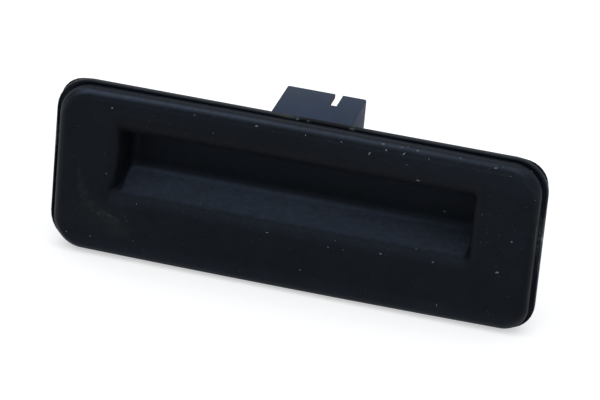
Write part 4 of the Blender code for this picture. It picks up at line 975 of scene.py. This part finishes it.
def pan(name):
    """A pan head along +Z with its underside at zero."""
    cheek, dome = HEAD_HEIGHT * DOME_STARTS, HEAD_HEIGHT * (1 - DOME_STARTS)
    profile = [(0.0, 0.0), (HEAD_RADIUS - UNDERCUT, 0.0), (HEAD_RADIUS, RIM_STEP), (HEAD_RADIUS, cheek)]
    for step in range(1, DOME_STEPS + 1):
        angle = math.radians(step * 90 / DOME_STEPS)
        profile.append((HEAD_RADIUS - DOME + DOME * math.cos(angle), cheek + dome * math.sin(angle)))
    profile.append((0.0, HEAD_HEIGHT))
    bm = bmesh.new()
    verts = [bm.verts.new((x * MM, 0, z * MM)) for x, z in profile]
    edges = [bm.edges.new(pair) for pair in zip(verts, verts[1:])]
    bmesh.ops.spin(
        bm, geom=[*verts, *edges], cent=(0, 0, 0), axis=(0, 0, 1), angle=2 * math.pi, steps=HEAD_STEPS
    )
    bmesh.ops.remove_doubles(bm, verts=bm.verts, dist=MERGE)
    bmesh.ops.recalc_face_normals(bm, faces=bm.faces)
    return put_in_scene(name, mesh_from(bm, name))


def drive_key():
    """The star that is cut out of the head."""
    bm = bmesh.new()
    outline = []
    for step in range(STAR_STEPS):
        angle = 2 * math.pi * step / STAR_STEPS
        reach = (STAR_RADIUS + LOBE * math.cos(LOBES * angle)) * MM
        spot = (reach * math.cos(angle), reach * math.sin(angle), HEAD_HEIGHT * RECESS_STARTS * MM)
        outline.append(bm.verts.new(spot))
    top = bmesh.ops.extrude_face_region(bm, geom=[bm.faces.new(outline)])["geom"]
    top = [v for v in top if isinstance(v, bmesh.types.BMVert)]
    bmesh.ops.translate(bm, verts=top, vec=(0, 0, HEAD_HEIGHT * MM))
    bmesh.ops.recalc_face_normals(bm, faces=bm.faces)
    return put_in_scene("drive_key", mesh_from(bm, "drive_key"))


def screw_head(name):
    head, key = pan(name), drive_key()
    cut = head.modifiers.new("drive", "BOOLEAN")
    cut.operation = "DIFFERENCE"
    cut.solver = "EXACT"
    cut.object = key
    keep_result(head)
    bpy.data.objects.remove(key)
    return head


heads = {side: screw_head(f"head_{side}") for side in ("left", "right")}
print("a head has", len(heads["left"].data.polygons), "faces")

# %% [markdown]
# ### Whole screws
# The thread is grown to the length that the solid's box leaves under the head, and the head is joined
# on. No two screws stop at the same angle, so each head is turned by its own.

# %% Screws
HEAD_TURNS = {"left": 23, "right": 51}  # in degrees
INTO_HEAD = 0.2 * MM
BACKWARDS = Matrix.Rotation(math.radians(-90), 4, "X")

for side, head in heads.items():
    low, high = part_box(f"housing_screw_{side}")
    middle = (low + high) / 2
    under = high.y - HEAD_HEIGHT * MM
    shank = under - low.y + INTO_HEAD
    tip = Vector((middle.x, low.y, middle.z))
    screw = grow(thread, f"screw_{side}", {"Length": shank}, tip, finishes["zinc"], BACKWARDS)
    turned = Matrix.Rotation(math.radians(HEAD_TURNS[side]), 4, "Z")
    head.data.transform(Matrix.Translation(Vector((middle.x, under, middle.z))) @ BACKWARDS @ turned)
    bm = bmesh.new()
    bm.from_mesh(screw.data)
    bm.from_mesh(head.data)
    bm.to_mesh(screw.data)
    bm.free()
    bpy.data.objects.remove(head)
    screw.data.materials.clear()
    screw.data.materials.append(finishes["zinc"])
    screw.data.shade_smooth()
    screw.data.set_sharp_from_angle(angle=SHARP)
    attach(screw, "root")
    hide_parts(f"housing_screw_{side}")
    print(screw.name, len(screw.data.polygons), "faces, shank", round(shank * 1000, 2), "mm")

# %% [markdown]
# ## Dust on the rubber
# The photograph shows pale flecks on the black rubber, mostly along its top edge and to the right. The
# finest are a tenth of a millimetre across. Geometry Nodes scatter those: points on the rubber's faces
# that look forwards or up, and on each a flattened, turned lump. There are more of them higher up, to
# the right, and in drifts some fourteen millimetres across.

# %% Dust tree
DUST_FACES = (0.0, -0.86, 0.5)  # the way that dusty faces look
LUMP = {0: 1.0, 1: 0.65, 2: 0.3}  # length, width and height of a fleck
DRIFTS_PER_METRE = 70.0


def dust_density(tree, most):
    """How many flecks fall on a square metre, at each place."""
    position = add(tree, "GeometryNodeInputPosition")
    x, _, z = add(tree, "ShaderNodeSeparateXYZ", {0: position}).outputs
    drifts = add(tree, "ShaderNodeTexNoise", {"Vector": position, "Scale": DRIFTS_PER_METRE, "Detail": 2.0})
    drifts = {"Value": drifts, "From Min": 0.4, "From Max": 0.7, "To Min": 0.15, "To Max": 1.0}
    higher = {"Value": z, "From Min": -0.02, "From Max": 0.02, "To Min": 0.35, "To Max": 1.0}
    rightward = {"Value": x, "From Min": -0.05, "From Max": 0.05, "To Min": 0.5, "To Max": 1.0}
    drifts, higher, rightward = (add(tree, "ShaderNodeMapRange", r) for r in (drifts, higher, rightward))
    share = add(tree, "ShaderNodeMath", {0: drifts, 1: higher}, operation="MULTIPLY")
    share = add(tree, "ShaderNodeMath", {0: share, 1: rightward}, operation="MULTIPLY")
    return add(tree, "ShaderNodeMath", {0: share, 1: most}, operation="MULTIPLY")


def dusty_faces(tree):
    """1 on faces that look forwards or up and lie before the back of the recess."""
    normal = add(tree, "GeometryNodeInputNormal")
    facing = add(tree, "ShaderNodeVectorMath", {0: normal, 1: DUST_FACES}, operation="DOT_PRODUCT")
    ahead = {0: facing.outputs["Value"], 1: 0.45}
    ahead = add(tree, "ShaderNodeMath", ahead, operation="GREATER_THAN")
    depth = add(tree, "ShaderNodeSeparateXYZ", {0: add(tree, "GeometryNodeInputPosition")}).outputs["Y"]
    shallow = add(tree, "ShaderNodeMath", {0: depth, 1: FRONT_Y + 12.0 * MM}, operation="LESS_THAN")
    return add(tree, "ShaderNodeMath", {0: shallow, 1: ahead}, operation="MULTIPLY")


def dust_tree():
    sizes = {"Per Square Metre": 42000.0, "Smallest": 0.03 * MM, "Largest": 0.07 * MM}
    tree = start_tree("dust_flecks", sizes, "Dust")
    tree.interface.new_socket("Rubber", in_out="INPUT", socket_type="NodeSocketObject")
    tree.interface.new_socket("Seed", in_out="INPUT", socket_type="NodeSocketInt").default_value = 11
    given = add(tree, "NodeGroupInput").outputs
    rubber = add(tree, "GeometryNodeObjectInfo", {"Object": given["Rubber"]}).outputs["Geometry"]
    scattered = add(tree, "GeometryNodeDistributePointsOnFaces", {
        "Mesh": rubber, "Selection": dusty_faces(tree), "Seed": given["Seed"],
        "Density": dust_density(tree, given["Per Square Metre"]),
    }).outputs
    size = {2: given["Smallest"], 3: given["Largest"], "Seed": 3}
    size = add(tree, "FunctionNodeRandomValue", size, data_type="FLOAT").outputs[1]
    shape = add(tree, "ShaderNodeCombineXYZ", LUMP)
    scale = add(tree, "ShaderNodeVectorMath", {0: shape, "Scale": size}, operation="SCALE")
    lump = add(tree, "GeometryNodeMeshIcoSphere", {"Radius": 1.0, "Subdivisions": 1})
    placed = add(tree, "GeometryNodeInstanceOnPoints", {
        "Points": scattered["Points"], "Instance": lump, "Rotation": scattered["Rotation"], "Scale": scale,
    })
    spin = {0: (0.0, 0.0, 0.0), 1: (0.0, 0.0, 6.28), "Seed": 5}
    spin = add(tree, "FunctionNodeRandomValue", spin, data_type="FLOAT_VECTOR")
    placed = {"Instances": placed, "Rotation": spin, "Local Space": True}
    placed = add(tree, "GeometryNodeRotateInstances", placed)
    return end_tree(tree, placed, given["Dust"])


flecks = dust_tree()
print("dust tree:", len(flecks.nodes), "nodes")

# %% [markdown]
# ### Two sizes of flecks
# Lint and mineral dust are matt and grey, darker than they seem against the black. Fine flecks are many
# and hardly show one by one. Coarse ones are few.

# %% Flecks
DUSTS = (  # name, flecks per square metre, smallest and largest radius in millimetres, and a seed
    ("fine_dust", 450000.0, 0.03, 0.08, 11),
    ("coarse_dust", 24000.0, 0.07, 0.12, 23),
)
FACES_OF_A_FLECK = 20


def pale_dust():
    material, tree, shader, where = start_material("pale_dust")
    clumps = add(tree, "ShaderNodeTexNoise", {"Vector": where, "Scale": 1 / 3.0})
    feed(tree, shader, {"Base Color": coats(tree, "#545a5f", (clumps, "#777d80")), "Roughness": 0.95})
    return material


dust_grey = pale_dust()
for name, density, smallest, largest, seed in DUSTS:
    sizes = {"Per Square Metre": density, "Smallest": smallest * MM, "Largest": largest * MM}
    dust = grow(flecks, name, {"Rubber": cover, "Seed": seed, **sizes}, Vector(), dust_grey)
    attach(dust, "root")
    print(name, len(dust.data.polygons) // FACES_OF_A_FLECK, "flecks")

# %% [markdown]
# ### Lint that can be told apart
# Larger crumbs and bits of lint are single events, so a list says where each is seen, as a place on the
# plane of the rubber's front, with its half length, half width and turn. A ray from the camera through
# that place finds the rubber behind it, and the crumb lies flat there, whatever way the rubber faces.

# %% Lint
LINT = (  # x, z, half length and half width in millimetres, and turn in degrees
    (49.8, -6.0, 0.49, 0.19, 20), (29.1, 13.4, 0.42, 0.21, 165), (17.2, 17.9, 0.46, 0.18, 65),
    (-9.8, 19.5, 0.45, 0.17, 10), (46.7, 20.1, 0.37, 0.17, 15), (25.2, 19.4, 0.39, 0.15, 50),
    (28.3, 20.8, 0.39, 0.15, 175), (20.2, 20.9, 0.33, 0.17, 15), (21.0, 19.5, 0.28, 0.17, 145),
    (52.3, 2.4, 0.26, 0.18, 30), (22.2, -6.9, 0.35, 0.13, 175), (-44.4, 17.3, 0.25, 0.18, 45),
    (36.0, 6.9, 0.25, 0.16, 140), (34.6, -6.5, 0.27, 0.14, 10), (54.9, 20.9, 0.30, 0.12, 105),
    (-5.1, -7.0, 0.28, 0.11, 5), (38.3, 20.9, 0.27, 0.10, 0), (36.6, -17.3, 0.26, 0.10, 90),
    (10.4, 19.5, 0.22, 0.11, 170), (24.5, 21.0, 0.24, 0.09, 10), (31.1, 19.3, 0.24, 0.09, 90),
    (-47.6, -16.7, 0.24, 0.09, 100), (-36.9, -6.0, 0.15, 0.13, 95), (9.7, -7.8, 0.22, 0.09, 155),
    (3.6, -15.0, 0.22, 0.09, 15), (-53.5, -16.6, 0.22, 0.09, 15), (1.9, 19.5, 0.15, 0.13, 20),
    (-24.6, 19.4, 0.14, 0.13, 140), (41.3, -0.1, 0.21, 0.08, 100), (26.0, 21.3, 0.20, 0.08, 65),
    (-44.7, 0.3, 0.18, 0.09, 55), (-21.6, -2.8, 0.19, 0.08, 55), (30.4, -3.9, 0.15, 0.10, 60),
    (26.1, 16.8, 0.19, 0.07, 175), (50.3, 18.7, 0.15, 0.09, 170), (-19.9, 15.7, 0.19, 0.07, 175),
    (-19.6, -3.7, 0.16, 0.07, 100), (44.7, 7.8, 0.11, 0.10, 150), (-37.2, -15.8, 0.13, 0.07, 65),
    (11.2, -5.8, 0.13, 0.07, 145), (13.3, -7.7, 0.13, 0.07, 150), (56.5, 13.9, 0.12, 0.07, 60),
)
LINT_HEIGHT, LUMPY, LUMP_SCALE = 0.05, 0.3, 1.7


def make_lint():
    skin = cover.data
    rubber = BVHTree.FromPolygons([v.co for v in skin.vertices], [p.vertices for p in skin.polygons])
    bm = bmesh.new()
    for i, (x, z, long, wide, turn) in enumerate(LINT):
        sight = (place(x, 0, z) - camera.location).normalized()
        spot, facing, _, _ = rubber.ray_cast(camera.location, sight)
        flat = Vector((1, 0, 0)) - facing * facing.x
        lie = Matrix((flat.normalized(), facing.cross(flat).normalized(), facing)).transposed().to_4x4()
        shape = Matrix.Diagonal((long * MM, wide * MM, LINT_HEIGHT * MM, 1.0))
        matrix = Matrix.Translation(spot) @ lie @ Matrix.Rotation(math.radians(turn), 4, "Z") @ shape
        for vert in bmesh.ops.create_icosphere(bm, subdivisions=2, radius=1.0)["verts"]:
            lumpy = 1 + LUMPY * noise.noise(vert.co * LUMP_SCALE + Vector((i, 0, 0)))
            vert.co = matrix @ (vert.co * lumpy)
            vert.co.y = max(vert.co.y, FRONT_Y)  # no crumb stands proud of the solid's box
    mesh = mesh_from(bm, "lint")
    mesh.shade_smooth()
    mesh.materials.append(dust_grey)
    return put_in_scene("lint", mesh)


lint = make_lint()
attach(lint, "root")
print("crumbs and lint:", len(LINT), "pieces,", len(lint.data.polygons), "faces")

# %% [markdown]
# ## Light
# A plain studio: one large soft lamp above and in front, a weaker one at the right, and a pale world.
# To the camera, to gloss and through glass the world is plain white.


# %% Light
def soft_lamp(name, at, size, watts):
    """A square lamp that looks at the handle."""
    lamp = bpy.data.lights.new(name, "AREA")
    lamp.shape = "SQUARE"
    lamp.size = size
    lamp.energy = watts
    obj = put_in_scene(name, lamp)
    obj.location = at
    obj.rotation_mode = "QUATERNION"
    obj.rotation_quaternion = (-Vector(at)).to_track_quat("-Z", "Y")


def seen_directly(tree):
    """1 for rays from the camera, in a gloss or through glass, and 0 for light that is bounced."""
    path = add(tree, "ShaderNodeLightPath").outputs
    seen = {0: path["Is Camera Ray"], 1: path["Is Glossy Ray"]}
    seen = {0: add(tree, "ShaderNodeMath", seen, operation="MAXIMUM"), 1: path["Is Transmission Ray"]}
    return add(tree, "ShaderNodeMath", seen, operation="MAXIMUM")


soft_lamp("overhead", (-0.1, -0.35, 1.3), 1.8, 9.0)
soft_lamp("right_fill", (0.9, -0.5, 0.4), 0.6, 1.0)
world = bpy.data.worlds.new("studio")
bpy.context.scene.world = world
world.use_nodes = True
studio = world.node_tree
sky = coats(studio, "#b4b8be", (seen_directly(studio), "#ffffff"))
feed(studio, studio.nodes["Background"], {"Color": sky, "Strength": 1.0})
print("lamps:", ", ".join(lamp.name for lamp in bpy.data.lights))

# %% [markdown]
# ## Floor
# The floor is pale and matt. For the eye of the camera it gets a little light of its own, so that it
# reads as white paper and still keeps the handle's shadow.

# %% Floor
REACH = 3.0  # half the floor's side, in metres
LIFT = 0.5  # the light that the paper gives to the eye

low_z = solid_box[0].z - 0.05 * MM
floor_mesh = bpy.data.meshes.new("floor")
corners = [(-REACH, -REACH, low_z), (REACH, -REACH, low_z), (REACH, REACH, low_z), (-REACH, REACH, low_z)]
floor_mesh.from_pydata(corners, [], [(0, 1, 2, 3)])
floor = put_in_scene("floor", floor_mesh)
paper = bpy.data.materials.new("white_paper")
paper.use_nodes = True
sheet = paper.node_tree
glow = add(sheet, "ShaderNodeMath", {0: seen_directly(sheet), 1: LIFT}, operation="MULTIPLY")
feed(sheet, sheet.nodes["Principled BSDF"], {
    "Base Color": "#e6e6e4", "Roughness": 0.9, "Specular IOR Level": 0.1,
    "Emission Color": "#ffffff", "Emission Strength": glow,
})
floor_mesh.materials.append(paper)
floor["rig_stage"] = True
print("floor at z =", round(low_z * 1000, 2), "mm")

# %% [markdown]
# ## Done
# The finished handle must keep the size of its solids, so both boxes are written down and compared.

# %% Finish
final_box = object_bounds()
grown = [[round((b - a) / MM, 3) for a, b in zip(*corner)] for corner in zip(solid_box, final_box)]
print("grown by mm:", grown)
